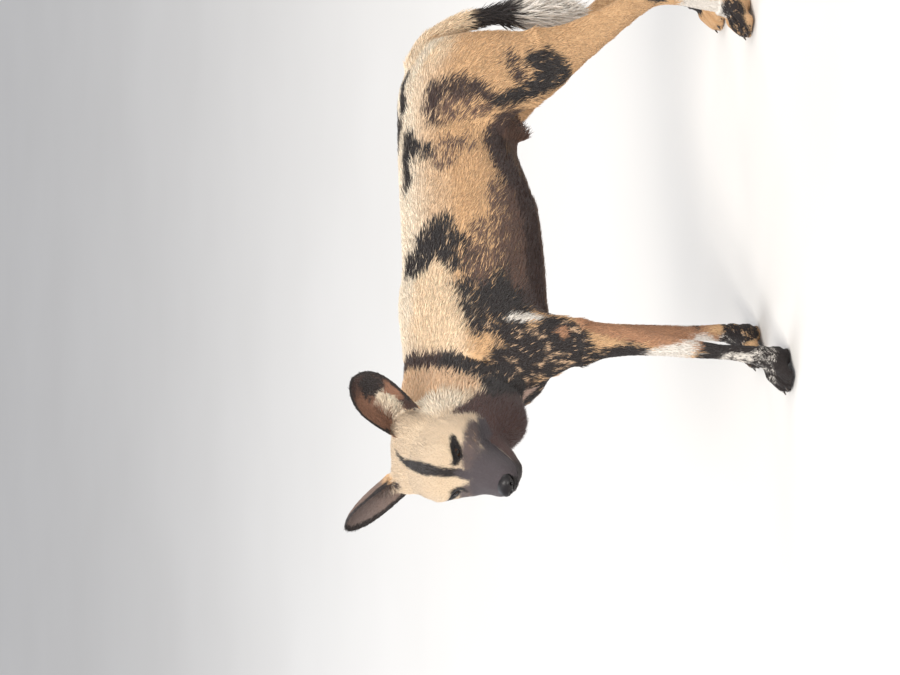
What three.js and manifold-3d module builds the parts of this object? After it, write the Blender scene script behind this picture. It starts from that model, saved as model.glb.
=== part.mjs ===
// An African wild dog at life size, standing with its head turned to its left.
// Millimetres. The body faces -Y, its left side is +X and +Z is up.
import * as THREE from "three";
import { mergeVertices } from "three/addons/utils/BufferGeometryUtils.js";
import Module from "manifold-3d";

const wasm = await Module();
wasm.setup();
const { sqrt, abs, ceil, min, max, sin, cos, hypot, PI } = Math;
const rad = THREE.MathUtils.degToRad;

// All is placed from the floor point under the withers, which stands here from the dog's middle.
const withers = [-35, -121];
// Where two nodes meet they leave this gap.
const gap = 0.3;
// Out of a shape's reach the distance to it is just given as far.
const far = 1000;
const reachMargin = 60;
const tiny = 1e-9;

// The head's place is midway between the eyes. Its own axes are x forward, y to its left and z up.
const headPose = { place: [122, -355, 644], yaw: 44, pitch: 27, roll: 5 };

const coats = {
  tan: { color: 0xc99a63, roughness: 0.9 },
  dark: { color: 0x2b2422, roughness: 0.9 },
  white: { color: 0xe2d8c6, roughness: 0.9 },
  eye: { color: 0x1c120c, roughness: 0.15 },
  nose: { color: 0x17161a, roughness: 0.45 },
  claw: { color: 0x26211d, roughness: 0.4 },
};

// Shapes are distances, negative inside. This melts two of them together over a width of k.
function melt(a, b, k) {
  const h = max(k - abs(a - b), 0) / k;
  return min(a, b) - (h * h * k) / 4;
}

function egg([cx, cy, cz], [rx, ry, rz], blend) {
  const at = (x, y, z) => {
    const px = (x - cx) / rx;
    const py = (y - cy) / ry;
    const pz = (z - cz) / rz;
    const near = hypot(px, py, pz);
    const slope = hypot(px / rx, py / ry, pz / rz);
    return slope < tiny ? -min(rx, ry, rz) : (near * (near - 1)) / slope;
  };
  return { at, blend };
}

// A limb along a smooth curve. Each stop is [x, y, z, radius, flatness across the side axis].
// A keel narrows its underside.
function limb(stops, { side = [1, 0, 0], blend = 30, steps = 4, keel = 0 } = {}) {
  const curve = (pick) => new THREE.CatmullRomCurve3(stops.map((s) => new THREE.Vector3(...pick(s))));
  const line = curve((s) => [s[0], s[1], s[2]]);
  const girth = curve((s) => [s[3], s[4], 0]);
  const count = (stops.length - 1) * steps;
  const points = [];
  const reach = new THREE.Box3();
  for (let i = 0; i <= count; i++) {
    const p = line.getPoint(i / count);
    const g = girth.getPoint(i / count);
    points.push([p.x, p.y, p.z, g.x, g.y]);
    reach.expandByPoint(p);
  }
  reach.expandByScalar(max(...stops.map((s) => s[3])) + reachMargin);
  const spot = new THREE.Vector3();
  const at = (x, y, z) => {
    if (!reach.containsPoint(spot.set(x, y, z))) return far;
    let nearest = far;
    for (let i = 0; i < count; i++) {
      const [ax, ay, az, ar, af] = points[i];
      const [bx, by, bz, br, bf] = points[i + 1];
      const [ux, uy, uz] = [bx - ax, by - ay, bz - az];
      const along = ((x - ax) * ux + (y - ay) * uy + (z - az) * uz) / (ux * ux + uy * uy + uz * uz);
      const t = min(max(along, 0), 1);
      const [dx, dy, dz] = [x - ax - t * ux, y - ay - t * uy, z - az - t * uz];
      const r = ar + t * (br - ar);
      const flat = (af + t * (bf - af)) * (1 + keel * max(0, -dz / r) ** 2);
      const across = dx * side[0] + dy * side[1] + dz * side[2];
      const rest = dx * dx + dy * dy + dz * dz - across * across;
      nearest = min(nearest, sqrt(rest + (across * flat) ** 2) - r);
    }
    return nearest;
  };
  return { at, blend };
}

function unite(shapes) {
  return (x, y, z) => shapes.reduce((d, shape) => melt(d, shape.at(x, y, z), shape.blend), far);
}

// Trunk and neck

const trunk = limb(
  [
    [0, -106, 498, 86, 1.15],
    [0, -40, 541, 130, 1.5],
    [0, 60, 543, 131, 1.42],
    [0, 160, 543, 127, 1.37],
    [0, 255, 557, 110, 1.36],
    [0, 330, 572, 90, 1.26],
    [0, 395, 572, 78, 1.1],
    [0, 440, 568, 66, 1.0],
  ],
  { keel: 0.28 },
);
const breast = egg([16, -158, 508], [52, 44, 58], 40);
const sheath = limb(
  [
    [0, 372, 476, 18, 1],
    [0, 340, 444, 23, 1],
    [0, 312, 424, 18, 1],
  ],
  { blend: 26 },
);
const neck = limb(
  [
    [0, -40, 574, 104, 1.35],
    [8, -125, 588, 98, 1.3],
    [28, -205, 608, 97, 1.24],
    [56, -274, 642, 79, 1.1],
  ],
  { side: [0.96, 0.28, 0], blend: 46 },
);
const throat = egg([68, -250, 553], [46, 54, 60], 44);

// Legs. A stride shifts a leg's lower part back, more the lower it is.

const frontLeg = {
  stops: [
    [40, -6, 620, 40, 1.8],
    [58, -62, 565, 64, 1.7],
    [72, -108, 485, 66, 1.55],
    [82, -112, 408, 48, 1.35],
    [85, -108, 352, 33, 1.25],
    [83, -107, 290, 27, 1.2],
    [79, -114, 228, 20, 1.12],
    [76, -120, 182, 17.5, 1.0],
    [75, -125, 128, 15, 0.95],
    [75, -129, 78, 17, 0.9],
    [75, -134, 46, 19, 0.8],
  ],
  joint: { place: [88, -80, 404], size: 17 },
  footY: -140,
};
const hindLeg = {
  stops: [
    [46, 386, 578, 62, 1.6],
    [66, 402, 512, 93, 2.15],
    [80, 418, 440, 74, 1.9],
    [85, 450, 364, 45, 1.5],
    [83, 505, 275, 30, 1.25],
    [80, 556, 198, 22, 1.1],
    [78, 563, 150, 16.5, 1.0],
    [77, 556, 100, 15, 0.95],
    [77, 550, 70, 17, 0.9],
    [77, 545, 44, 18, 0.8],
  ],
  joint: { place: [80, 580, 200], size: 13 },
  footY: 545,
};
const legBlend = 34;
const jointShape = { shares: [0.8, 1, 1.2], blend: 16 };
const hipHeight = 560;
const paw = {
  pad: { rise: 20, back: 4, size: [24, 26, 22], blend: 14 },
  toes: [
    { out: -21, reach: 38 },
    { out: -8, reach: 52 },
    { out: 8, reach: 52 },
    { out: 21, reach: 38 },
  ],
  toeSize: 12.5,
  toeBlend: 7,
};
// A toe runs out and forward from the foot's middle, bends at the knuckle and comes down to its tip.
const toePath = [
  { out: 0.8, reach: 0, ahead: 4, z: 30, girth: 1 },
  { out: 1, reach: 0.6, ahead: 0, z: 23, girth: 1.05 },
  { out: 1.08, reach: 1, ahead: 0, z: 10, girth: 0.9 },
];

function strideAt(z, stride) {
  const share = min(max((hipHeight - z) / hipHeight, 0), 1);
  return stride * sin((share * PI) / 2);
}

function pawShapes([x, y]) {
  const { pad, toeSize, toeBlend } = paw;
  const toes = paw.toes.map(({ out, reach }) => {
    const stops = toePath.map((stop) => [
      x + out * stop.out,
      y - stop.ahead - reach * stop.reach,
      stop.z,
      toeSize * stop.girth,
      1,
    ]);
    return limb(stops, { blend: toeBlend });
  });
  return [egg([x, y + pad.back, pad.rise], pad.size, pad.blend), ...toes];
}

function makeLeg(name, { stops, joint, footY }, side, stride) {
  const placed = stops.map(([x, y, z, r, flat]) => [side * x, y + strideAt(z, stride), z, r, flat]);
  const [jx, jy, jz] = joint.place;
  const jointSize = jointShape.shares.map((share) => share * joint.size);
  const foot = [placed.at(-1)[0], footY + stride];
  return {
    name,
    side,
    foot,
    shapes: [
      limb(placed, { blend: legBlend }),
      egg([side * jx, jy + strideAt(jz, stride), jz], jointSize, jointShape.blend),
      ...pawShapes(foot),
    ],
  };
}

// The right legs stand further back than the left ones.
const rightStride = { front: 98, hind: 82 };
const legs = [
  makeLeg("front_left", frontLeg, 1, 0),
  makeLeg("front_right", frontLeg, -1, rightStride.front),
  makeLeg("hind_left", hindLeg, 1, 0),
  makeLeg("hind_right", hindLeg, -1, rightStride.hind),
];

// Tail

const tail = limb(
  [
    [0, 440, 606, 36, 1],
    [0, 486, 588, 27, 1],
    [0, 524, 548, 20, 1],
    [0, 544, 500, 20, 1],
    [0, 553, 446, 32, 1.05],
    [0, 557, 380, 44, 1.1],
    [0, 558, 318, 32, 1.05],
    [0, 558, 282, 12, 1],
  ],
  { blend: 0 },
);

// Head, in its own axes

const acrossHead = { side: [0, 1, 0] };
const bothSides = (place, size, blend) =>
  [1, -1].map((side) => egg([place[0], side * place[1], place[2]], size, blend));
const headShapes = [
  egg([-58, 0, 10], [76, 63, 52], 20),
  ...bothSides([-30, 30, 20], [42, 31, 28], 24),
  ...bothSides([-86, 50, 34], [30, 27, 27], 24),
  ...bothSides([-36, 40, -24], [52, 33, 44], 26),
  limb(
    [
      [-10, 0, -29, 45, 0.93],
      [34, 0, -38, 37, 0.93],
      [76, 0, -46, 29, 0.9],
    ],
    { ...acrossHead, blend: 22 },
  ),
  ...bothSides([14, 22, -24], [34, 26, 26], 16),
  egg([-16, 0, 14], [35, 45, 26], 22),
  ...bothSides([-3, 34, 19], [17, 17, 9], 14),
  limb(
    [
      [-30, 0, -76, 31, 0.74],
      [26, 0, -84, 24, 0.76],
      [66, 0, -80, 16, 0.7],
    ],
    { ...acrossHead, blend: 18 },
  ),
];
const eye = {
  place: [6, 36.5, 5],
  size: 11,
  socket: 11.4,
  orbit: { place: [21, 46, 6], size: [14, 14, 10], rim: 12 },
};
const nose = { place: [94, 0, -38], size: [14, 22, 14] };

// An ear is a cup that opens along its face, round its axis from root to tip.
const ear = {
  root: [-90, 66, 36],
  axis: [-0.38, 0.68, 0.66],
  face: [0.87, 0.45, 0.1],
  length: 129,
  halfWidth: 42,
  rootHalfWidth: 31,
  widest: 0.52,
  buried: 0.16,
  curl: { root: 84, tip: 40 },
  blunt: 0.09,
  thickness: 5,
  rimThinning: 0.6,
  rows: 9,
  columns: 6,
};

const headTurn = new THREE.Matrix4().makeTranslation(...headPose.place);
headTurn.multiply(new THREE.Matrix4().makeRotationZ(rad(headPose.yaw - 90)));
headTurn.multiply(new THREE.Matrix4().makeRotationY(rad(headPose.pitch)));
headTurn.multiply(new THREE.Matrix4().makeRotationX(rad(headPose.roll)));

// The point (x, y, z) taken through a matrix, for fields that are asked many times.
function through({ elements: e }, field) {
  return (x, y, z) =>
    field(
      e[0] * x + e[4] * y + e[8] * z + e[12],
      e[1] * x + e[5] * y + e[9] * z + e[13],
      e[2] * x + e[6] * y + e[10] * z + e[14],
    );
}

const fullHeadAt = unite(headShapes);
const orbits = unite(bothSides(eye.orbit.place, eye.orbit.size, 1));
const bareHead = (x, y, z) => -melt(-fullHeadAt(x, y, z), orbits(x, y, z), eye.orbit.rim);
const headReach = 330;
const ownHead = (x, y, z) => (hypot(x, y, z) > headReach ? far : bareHead(x, y, z));
const head = { at: through(headTurn.clone().invert(), ownHead), blend: 40 };

const body = unite([trunk, sheath, neck, breast, throat, ...legs.flatMap((leg) => leg.shapes), head]);

// Meshes

// No value on a grid is nearer to zero than this.
const nearZero = 1e-4;
// A point moves onto the surface only where the field's slope lies between these.
const slopes = { least: 0.2, most: 3 };
const weldDistance = 1e-3;

// Where the inside meets itself only across a square's diagonal the surface would pinch to a line,
// so one of the two outer corners is filled. Returns whether it filled any.
function fillPinch(values, size, stride) {
  let filled = false;
  for (let at = 0; at < values.length - stride[2] - stride[1]; at++) {
    for (const [u, v] of [[0, 1], [1, 2], [2, 0]]) {
      const ring = [at, at + stride[u], at + stride[u] + stride[v], at + stride[v]];
      const [a, b, c, d] = ring.map((i) => values[i] < 0);
      if (a !== c || b !== d || a === b) continue;
      const outer = ring.filter((i) => values[i] >= 0).sort((p, q) => values[p] - values[q]);
      values[outer[0]] = -values[outer[0]];
      filled = true;
    }
  }
  return filled;
}

function spanBetween(points, p, q) {
  return hypot(...[0, 1, 2].map((m) => points[3 * p + m] - points[3 * q + m]));
}

// One vertex in each cell that the surface passes through, and a face round each grid edge that
// crosses it. The field counts as outside beyond the box, so the mesh is closed.
function netOf(field, [low, high], cell) {
  const size = low.map((v, i) => ceil((high[i] - v) / cell[i]) + 1);
  const stride = [1, size[0], size[0] * size[1]];
  const place = (i, j, k) => [low[0] + i * cell[0], low[1] + j * cell[1], low[2] + k * cell[2]];
  const values = new Float32Array(stride[2] * size[2]);
  for (let k = 0; k < size[2]; k++) {
    for (let j = 0; j < size[1]; j++) {
      for (let i = 0; i < size[0]; i++) {
        const edge = [i, j, k].some((v, axis) => v === 0 || v === size[axis] - 1);
        const value = edge ? 1 : field(...place(i, j, k));
        values[i + j * stride[1] + k * stride[2]] = abs(value) < nearZero ? nearZero : value;
      }
    }
  }
  while (fillPinch(values, size, stride));
  const vertexOf = new Map();
  const points = [];
  const corners = [0, 1, 2, 3, 4, 5, 6, 7].map((c) => [c & 1, (c >> 1) & 1, (c >> 2) & 1]);
  const edges = corners.flatMap((a, i) =>
    [0, 1, 2].filter((axis) => a[axis] === 0).map((axis) => [i, i | (1 << axis), axis]),
  );
  function vertexAt(i, j, k) {
    const base = i + j * stride[1] + k * stride[2];
    if (vertexOf.has(base)) return vertexOf.get(base);
    const middle = [0, 0, 0];
    let crossings = 0;
    for (const [a, b, axis] of edges) {
      const va = values[base + corners[a][0] + corners[a][1] * stride[1] + corners[a][2] * stride[2]];
      const vb = values[base + corners[b][0] + corners[b][1] * stride[1] + corners[b][2] * stride[2]];
      if (va < 0 === vb < 0) continue;
      const t = va / (va - vb);
      for (const m of [0, 1, 2]) middle[m] += corners[a][m] + (m === axis ? t : 0);
      crossings++;
    }
    let spot = middle.map((v, m) => low[m] + ([i, j, k][m] + v / crossings) * cell[m]);
    spot = settle(field, spot, min(...cell) / 3);
    points.push(...spot);
    vertexOf.set(base, points.length / 3 - 1);
    return points.length / 3 - 1;
  }
  const faces = [];
  for (let k = 0; k < size[2] - 1; k++) {
    for (let j = 0; j < size[1] - 1; j++) {
      for (let i = 0; i < size[0] - 1; i++) {
        const here = values[i + j * stride[1] + k * stride[2]] < 0;
        for (const axis of [0, 1, 2]) {
          const there = values[i + j * stride[1] + k * stride[2] + stride[axis]] < 0;
          if (here === there) continue;
          const u = (axis + 1) % 3;
          const v = (axis + 2) % 3;
          const ring = [[0, 0], [-1, 0], [-1, -1], [0, -1]].map(([du, dv]) => {
            const cellAt = [i, j, k];
            cellAt[u] += du;
            cellAt[v] += dv;
            return vertexAt(...cellAt);
          });
          if (!here) ring.reverse();
          const [a, b, c, d] = ring;
          if (spanBetween(points, a, c) < spanBetween(points, b, d)) faces.push(a, b, c, a, c, d);
          else faces.push(a, b, d, b, c, d);
        }
      }
    }
  }
  return { points, faces };
}

// Moves a point onto the surface along the field's slope, but no further than the given limit.
function settle(field, [x, y, z], limit) {
  const probe = 0.5;
  const value = field(x, y, z);
  const slope = [
    field(x + probe, y, z) - field(x - probe, y, z),
    field(x, y + probe, z) - field(x, y - probe, z),
    field(x, y, z + probe) - field(x, y, z - probe),
  ].map((v) => v / (2 * probe));
  const steep = hypot(...slope);
  if (abs(value) > far / 2 || steep < slopes.least || steep > slopes.most) return [x, y, z];
  const step = max(-limit, min(limit, -value / steep));
  return [x, y, z].map((v, m) => v + (step * slope[m]) / steep);
}

function solidOf({ points, faces }) {
  const vertProperties = new Float32Array(points);
  return new wasm.Manifold(new wasm.Mesh({ numProp: 3, vertProperties, triVerts: new Uint32Array(faces) }));
}

function geometryOf(solid) {
  const { vertProperties, triVerts } = solid.getMesh();
  const geometry = new THREE.BufferGeometry();
  geometry.setAttribute("position", new THREE.BufferAttribute(vertProperties, 3));
  geometry.setIndex(new THREE.BufferAttribute(triVerts, 1));
  return geometry;
}

// A three.js geometry as a solid.
function solidFrom(source) {
  const geometry = source.clone();
  geometry.deleteAttribute("normal");
  geometry.deleteAttribute("uv");
  const merged = mergeVertices(geometry, weldDistance);
  return solidOf({ points: merged.attributes.position.array, faces: merged.index.array });
}

// A net with each vertex moved out by a distance.
function swollen({ points, faces }, distance) {
  const geometry = new THREE.BufferGeometry();
  geometry.setAttribute("position", new THREE.Float32BufferAttribute(points, 3));
  geometry.setIndex(faces);
  geometry.computeVertexNormals();
  const outward = geometry.attributes.normal.array;
  return { points: points.map((v, i) => v + distance * outward[i]), faces };
}

// A net made in the head's axes, as a solid in its place.
function headSolidOf({ points, faces }) {
  const positions = new THREE.Float32BufferAttribute(points, 3).applyMatrix4(headTurn);
  return solidOf({ points: positions.array, faces });
}

function boxBetween([ax, ay, az], [bx, by, bz]) {
  const box = new THREE.BoxGeometry(bx - ax, by - ay, bz - az);
  return box.translate((ax + bx) / 2, (ay + by) / 2, (az + bz) / 2);
}

// All that lies on a plane's far side, from a distance past it.
function beyond({ point, normal }, start) {
  const size = 1600;
  const away = new THREE.Vector3(...normal).normalize();
  const box = new THREE.BoxGeometry(size, size, size).translate(0, 0, size / 2 + start);
  box.applyQuaternion(new THREE.Quaternion().setFromUnitVectors(new THREE.Vector3(0, 0, 1), away));
  return solidFrom(box.translate(...point));
}

const dog = new THREE.Group();
dog.name = "african_wild_dog";
dog.position.set(withers[0], withers[1], 0);

function addNode(name, solid, { color, roughness }) {
  const material = new THREE.MeshStandardMaterial({ color, roughness, metalness: 0 });
  const mesh = new THREE.Mesh(geometryOf(solid), material);
  mesh.name = name;
  dog.add(mesh);
}

// The planes where the nodes part. Each normal points away from the trunk.
const collar = { point: [46, -262, 660], normal: [0.6, -0.76, -0.25] };
const shoulders = { point: [0, -150, 600], normal: [0.1, -0.96, 0.26] };
const brushTop = { point: [0, 548, 470], normal: [0, 0.1, -1] };
const ankle = 62;
const legSpaces = {
  x: [26, 220],
  bottom: -80,
  front: { top: 398, y: [-260, 40] },
  hind: { top: 432, y: [250, 700] },
};

const endOf = ({ name }) => (name.startsWith("front") ? "front" : "hind");

// Space for one leg, from below the floor to its top.
function legSpace(leg, margin) {
  const { top, y } = legSpaces[endOf(leg)];
  const [inner, outer] = legSpaces.x;
  const [left, right] = [inner - margin, outer].map((x) => leg.side * x).sort((a, b) => a - b);
  const low = [left, y[0] - margin, legSpaces.bottom];
  return solidFrom(boxBetween(low, [right, y[1] + margin, top + margin]));
}

// A layer from one height to another, wider than the dog.
function layer(bottom, top) {
  const [halfWidth, halfLength] = [500, 900];
  return solidFrom(boxBetween([-halfWidth, -halfLength, bottom], [halfWidth, halfLength, top]));
}

// The box each mesh is made in and the size of its cells.
const grids = {
  trunk: { box: [[-170, -330, 360], [170, 570, 730]], cell: [32, 38, 32] },
  neck: { box: [[-140, -360, 440], [200, -90, 760]], cell: [26, 26, 26] },
  front: { box: [[-170, -190, 40], [170, 100, 440]], cell: [16, 16, 33] },
  hind: { box: [[-170, 240, 40], [170, 690, 470]], cell: [16, 16, 33] },
  paw: { box: [[-50, -90, -12], [50, 56, ankle + 12]], cell: [13, 13, 12] },
  head: { box: [[-190, -115, -212], [125, 115, 90]], cell: [15.5, 14.2, 14] },
  tail: { box: [[-70, 420, 250], [70, 620, 660]], cell: [15, 15, 25] },
};
const onGrid = (field, { box, cell }) => netOf(field, box, cell);

const trunkNet = onGrid(body, grids.trunk);
const fullTrunk = solidOf(swollen(trunkNet, gap));
let trunkSolid = solidOf(trunkNet);
trunkSolid = trunkSolid.subtract(beyond(shoulders, -gap / 2));
for (const leg of legs) trunkSolid = trunkSolid.subtract(legSpace(leg, gap / 2));
addNode("trunk", trunkSolid, coats.tan);

const neckSolid = solidOf(onGrid(body, grids.neck))
  .subtract(beyond(collar, -gap / 2))
  .intersect(beyond(shoulders, gap / 2));
addNode("neck", neckSolid, coats.dark);

const claw = { length: 15, radius: 3.4, sides: 5, height: 11, droop: 28, spread: 1.1, buried: 3 };

// A claw stands in the tip of its toe.
function clawAt([x, y], { out, reach }) {
  const cone = new THREE.ConeGeometry(claw.radius, claw.length, claw.sides).rotateX(rad(claw.droop) - PI);
  const tip = [x + out * claw.spread, y - reach - paw.toeSize + claw.buried, claw.height];
  return solidFrom(cone.translate(...tip));
}

const below = -90;
const overPaws = 300;
for (const leg of legs) {
  const [x, y] = leg.foot;
  const end = endOf(leg);
  const limbSolid = solidOf(onGrid(body, grids[end]))
    .intersect(legSpace(leg, -gap / 2))
    .subtract(layer(below, ankle + gap / 2));
  addNode("leg_" + leg.name, limbSolid, end === "front" ? coats.dark : coats.tan);
  const pawBox = grids.paw.box.map((corner) => [x + corner[0], y + corner[1], corner[2]]);
  const pawNet = netOf(body, pawBox, grids.paw.cell);
  const pawSolid = solidOf(pawNet)
    .subtract(layer(below, 0))
    .subtract(layer(ankle - gap / 2, overPaws));
  addNode("paw_" + leg.name, pawSolid, coats.dark);
  const fullPaw = solidOf(swollen(pawNet, gap));
  paw.toes.forEach((toe, i) => {
    addNode("claw_" + leg.name + "_" + (i + 1), clawAt(leg.foot, toe).subtract(fullPaw), coats.claw);
  });
}

// What stands on the head or foot is cut by a fuller copy of it, which leaves the gap.
const headNet = onGrid(through(headTurn, body), grids.head);
const fullHead = headSolidOf(swollen(headNet, gap));
const roundness = { eye: [10, 7], nose: [12, 7] };
function eyeball(radius, place) {
  return new THREE.SphereGeometry(radius, ...roundness.eye).rotateY(PI / 2).translate(...place);
}
function nosePad(grow) {
  const pad = new THREE.SphereGeometry(1, ...roundness.nose).rotateY(PI / 2);
  return pad.scale(...nose.size.map((v) => v + grow)).translate(...nose.place);
}
const intoPlace = (geometry) => solidFrom(geometry.applyMatrix4(headTurn));

let headNode = headSolidOf(headNet).intersect(beyond(collar, gap / 2));
headNode = headNode.subtract(intoPlace(nosePad(gap)));
for (const side of [1, -1]) {
  const place = [eye.place[0], side * eye.place[1], eye.place[2]];
  headNode = headNode.subtract(intoPlace(eyeball(eye.socket, place)));
  addNode(side > 0 ? "eye_left" : "eye_right", intoPlace(eyeball(eye.size, place)), coats.eye);
}
addNode("head", headNode, coats.tan);
addNode("nose", intoPlace(nosePad(0)), coats.nose);

// A closed sheet from a grid of points: the face side, the back side and a rim between them.
function sheet(faceAt, backAt, rows, columns) {
  const points = [];
  for (const at of [faceAt, backAt]) {
    for (let i = 0; i <= rows; i++) {
      for (let j = 0; j <= columns; j++) points.push(...at(i / rows, (2 * j) / columns - 1));
    }
  }
  const faces = [];
  const width = columns + 1;
  const back = (rows + 1) * width;
  const quad = (a, b, c, d) => faces.push(a, b, c, a, c, d);
  for (let i = 0; i < rows; i++) {
    for (let j = 0; j < columns; j++) {
      const a = i * width + j;
      quad(a, a + 1, a + 1 + width, a + width);
      quad(back + a, back + a + width, back + a + 1 + width, back + a + 1);
    }
    const left = i * width;
    const right = left + columns;
    quad(left, left + width, back + left + width, back + left);
    quad(right, back + right, back + right + width, right + width);
  }
  for (let j = 0; j < columns; j++) {
    const top = rows * width + j;
    quad(j, back + j, back + j + 1, j + 1);
    quad(top, top + 1, back + top + 1, back + top);
  }
  return { points, faces };
}

function earNet(side) {
  const axis = new THREE.Vector3(...ear.axis).normalize();
  const face = new THREE.Vector3(...ear.face);
  face.addScaledVector(axis, -face.dot(axis)).normalize();
  const across = new THREE.Vector3().crossVectors(axis, face);
  // v runs from root to tip and u from edge to edge, both over the cup's face or its back.
  const at = (outward) => (v, u) => {
    const lower = v < 0.5;
    const rise = -ear.buried + 2 * v * (ear.widest + ear.buried);
    const bow = lower ? 0 : (2 * v - 1) * (PI / 2 - ear.blunt);
    const along = lower ? rise : ear.widest + (1 - ear.widest) * sin(bow);
    const swell = sin((PI / 2) * min(max((along + ear.buried) / (ear.widest + ear.buried), 0), 1));
    const half = (ear.rootHalfWidth + (ear.halfWidth - ear.rootHalfWidth) * swell) * cos(bow);
    const curl = rad(ear.curl.root + (ear.curl.tip - ear.curl.root) * v);
    const sweep = half / sin(curl);
    const turn = u * curl;
    const spread = outward * (1 - ear.rimThinning * u ** 4);
    const p = new THREE.Vector3(...ear.root)
      .addScaledVector(axis, along * ear.length)
      .addScaledVector(across, (sweep + spread) * sin(turn))
      .addScaledVector(face, -(sweep + spread) * cos(turn) + sweep * cos(curl));
    return [p.x, side * p.y, p.z];
  };
  const { points, faces } = sheet(at(0), at(ear.thickness), ear.rows, ear.columns);
  if (side < 0) faces.reverse();
  return { points, faces };
}
for (const side of [1, -1]) {
  const earSolid = headSolidOf(earNet(side)).subtract(fullHead);
  addNode(side > 0 ? "ear_left" : "ear_right", earSolid, coats.dark);
}

// Tail

const tailSolid = solidOf(onGrid(tail.at, grids.tail)).subtract(fullTrunk);
const [brush, stem] = [1, -1].map((way) => {
  const normal = brushTop.normal.map((v) => way * v);
  return tailSolid.intersect(beyond({ point: brushTop.point, normal }, gap / 2));
});
addNode("tail", stem, coats.tan);
addNode("tail_brush", brush, coats.white);

export default dog;
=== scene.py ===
# An African wild dog standing in a stride, its head turned and lowered.
# Metres, +Z up, nose towards -Y, the dog's left side towards +X. The head has axes of its own, in
# millimetres: x forward, y to its left, z up, from the point midway between the eyes.
import math

import bmesh
import bpy
import numpy as np
from mathutils import Matrix, Vector
from mathutils.bvhtree import BVHTree


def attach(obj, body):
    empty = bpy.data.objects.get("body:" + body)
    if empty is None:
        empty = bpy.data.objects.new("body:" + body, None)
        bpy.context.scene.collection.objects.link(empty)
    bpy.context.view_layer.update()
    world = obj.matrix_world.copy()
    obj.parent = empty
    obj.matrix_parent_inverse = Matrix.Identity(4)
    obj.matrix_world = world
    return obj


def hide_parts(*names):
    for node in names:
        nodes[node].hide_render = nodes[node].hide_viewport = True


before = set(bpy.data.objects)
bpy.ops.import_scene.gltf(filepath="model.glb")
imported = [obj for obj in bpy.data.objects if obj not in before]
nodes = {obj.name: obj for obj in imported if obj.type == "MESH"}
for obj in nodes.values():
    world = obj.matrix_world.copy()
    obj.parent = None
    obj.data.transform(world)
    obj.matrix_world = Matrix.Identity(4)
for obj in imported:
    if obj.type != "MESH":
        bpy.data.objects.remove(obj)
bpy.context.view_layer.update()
random = np.random.default_rng(7)
mm = 0.001
print("frame loaded,", len(nodes), "nodes")


# Camera

camera = {
    "target": (-0.035, -0.1915, 0.598),
    "distance": 8.0,
    "ahead": 20,
    "above": 14,
    "lens": 181.12,
    "sensor": 36,
}


def makeCamera():
    ahead = math.radians(camera["ahead"])
    above = math.radians(camera["above"])
    level = math.cos(above)
    back = Vector((level * math.cos(ahead), -level * math.sin(ahead), math.sin(above)))
    right = Vector((math.sin(ahead), math.cos(ahead), 0))
    up = back.cross(right)
    data = bpy.data.cameras.new("camera")
    data.lens = camera["lens"]
    data.sensor_width = camera["sensor"]
    seat = bpy.data.objects.new("camera", data)
    bpy.context.scene.collection.objects.link(seat)
    turn = Matrix((-up, right, back)).transposed()  # the picture lies on its side, its left is up
    place = Vector(camera["target"]) + camera["distance"] * back
    seat.matrix_world = Matrix.Translation(place) @ turn.to_4x4()
    bpy.context.scene.camera = seat


# Small tools

def smooth(low, high, value):
    share = np.clip((value - low) / (high - low), 0, 1)
    return share * share * (3 - 2 * share)


def mix(a, b, share):
    return a + (b - a) * share


def unit(vectors):
    vectors = np.asarray(vectors, float)
    return vectors / np.maximum(np.linalg.norm(vectors, axis=-1, keepdims=True), 1e-9)


def lattice(cell, seed):
    h = cell[:, 0] * 374761393 + cell[:, 1] * 668265263 + cell[:, 2] * 1440662683 + seed * 974711
    h = ((h & 0xFFFFFFFF) ^ ((h & 0xFFFFFFFF) >> 13)) * 1274126177
    h = (h & 0xFFFFFFFF) ^ ((h & 0xFFFFFFFF) >> 16)
    return (h & 0xFFFF) / 32767.5 - 1


def blotches(points, size, seed):  # soft noise from -1 to 1
    place = points / size + 1000
    cell = np.floor(place).astype(np.int64)
    part = place - cell
    part = part * part * (3 - 2 * part)
    total = np.zeros(len(points))
    for corner in np.ndindex(2, 2, 2):
        share = np.prod(np.where(np.array(corner) == 1, part, 1 - part), axis=1)
        total += share * lattice(cell + corner, seed)
    return total


def deselectAll():
    bpy.ops.object.select_all(action="DESELECT")


def makeActive(piece):
    deselectAll()
    piece.select_set(True)
    bpy.context.view_layer.objects.active = piece


def applyModifier(piece, kind, **settings):
    makeActive(piece)
    modifier = piece.modifiers.new(kind, kind)
    for key, value in settings.items():
        setattr(modifier, key, value)
    bpy.ops.object.modifier_apply(modifier=modifier.name)


def placesOf(mesh):
    flat = np.empty(len(mesh.vertices) * 3, np.float32)
    mesh.vertices.foreach_get("co", flat)
    return flat.reshape(-1, 3).astype(float)


def normalsOf(mesh):
    flat = np.empty(len(mesh.vertices) * 3, np.float32)
    mesh.vertex_normals.foreach_get("vector", flat)
    return flat.reshape(-1, 3).astype(float)


def edgesOf(mesh):
    flat = np.empty(len(mesh.edges) * 2, np.int32)
    mesh.edges.foreach_get("vertices", flat)
    return flat.reshape(-1, 2)


def trianglesOf(mesh):  # for a mesh of triangles only
    flat = np.empty(len(mesh.loops), np.int32)
    mesh.loops.foreach_get("vertex_index", flat)
    return flat.reshape(-1, 3)


def moveTo(mesh, places):
    mesh.vertices.foreach_set("co", places.astype(np.float32).ravel())
    mesh.update()


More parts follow.
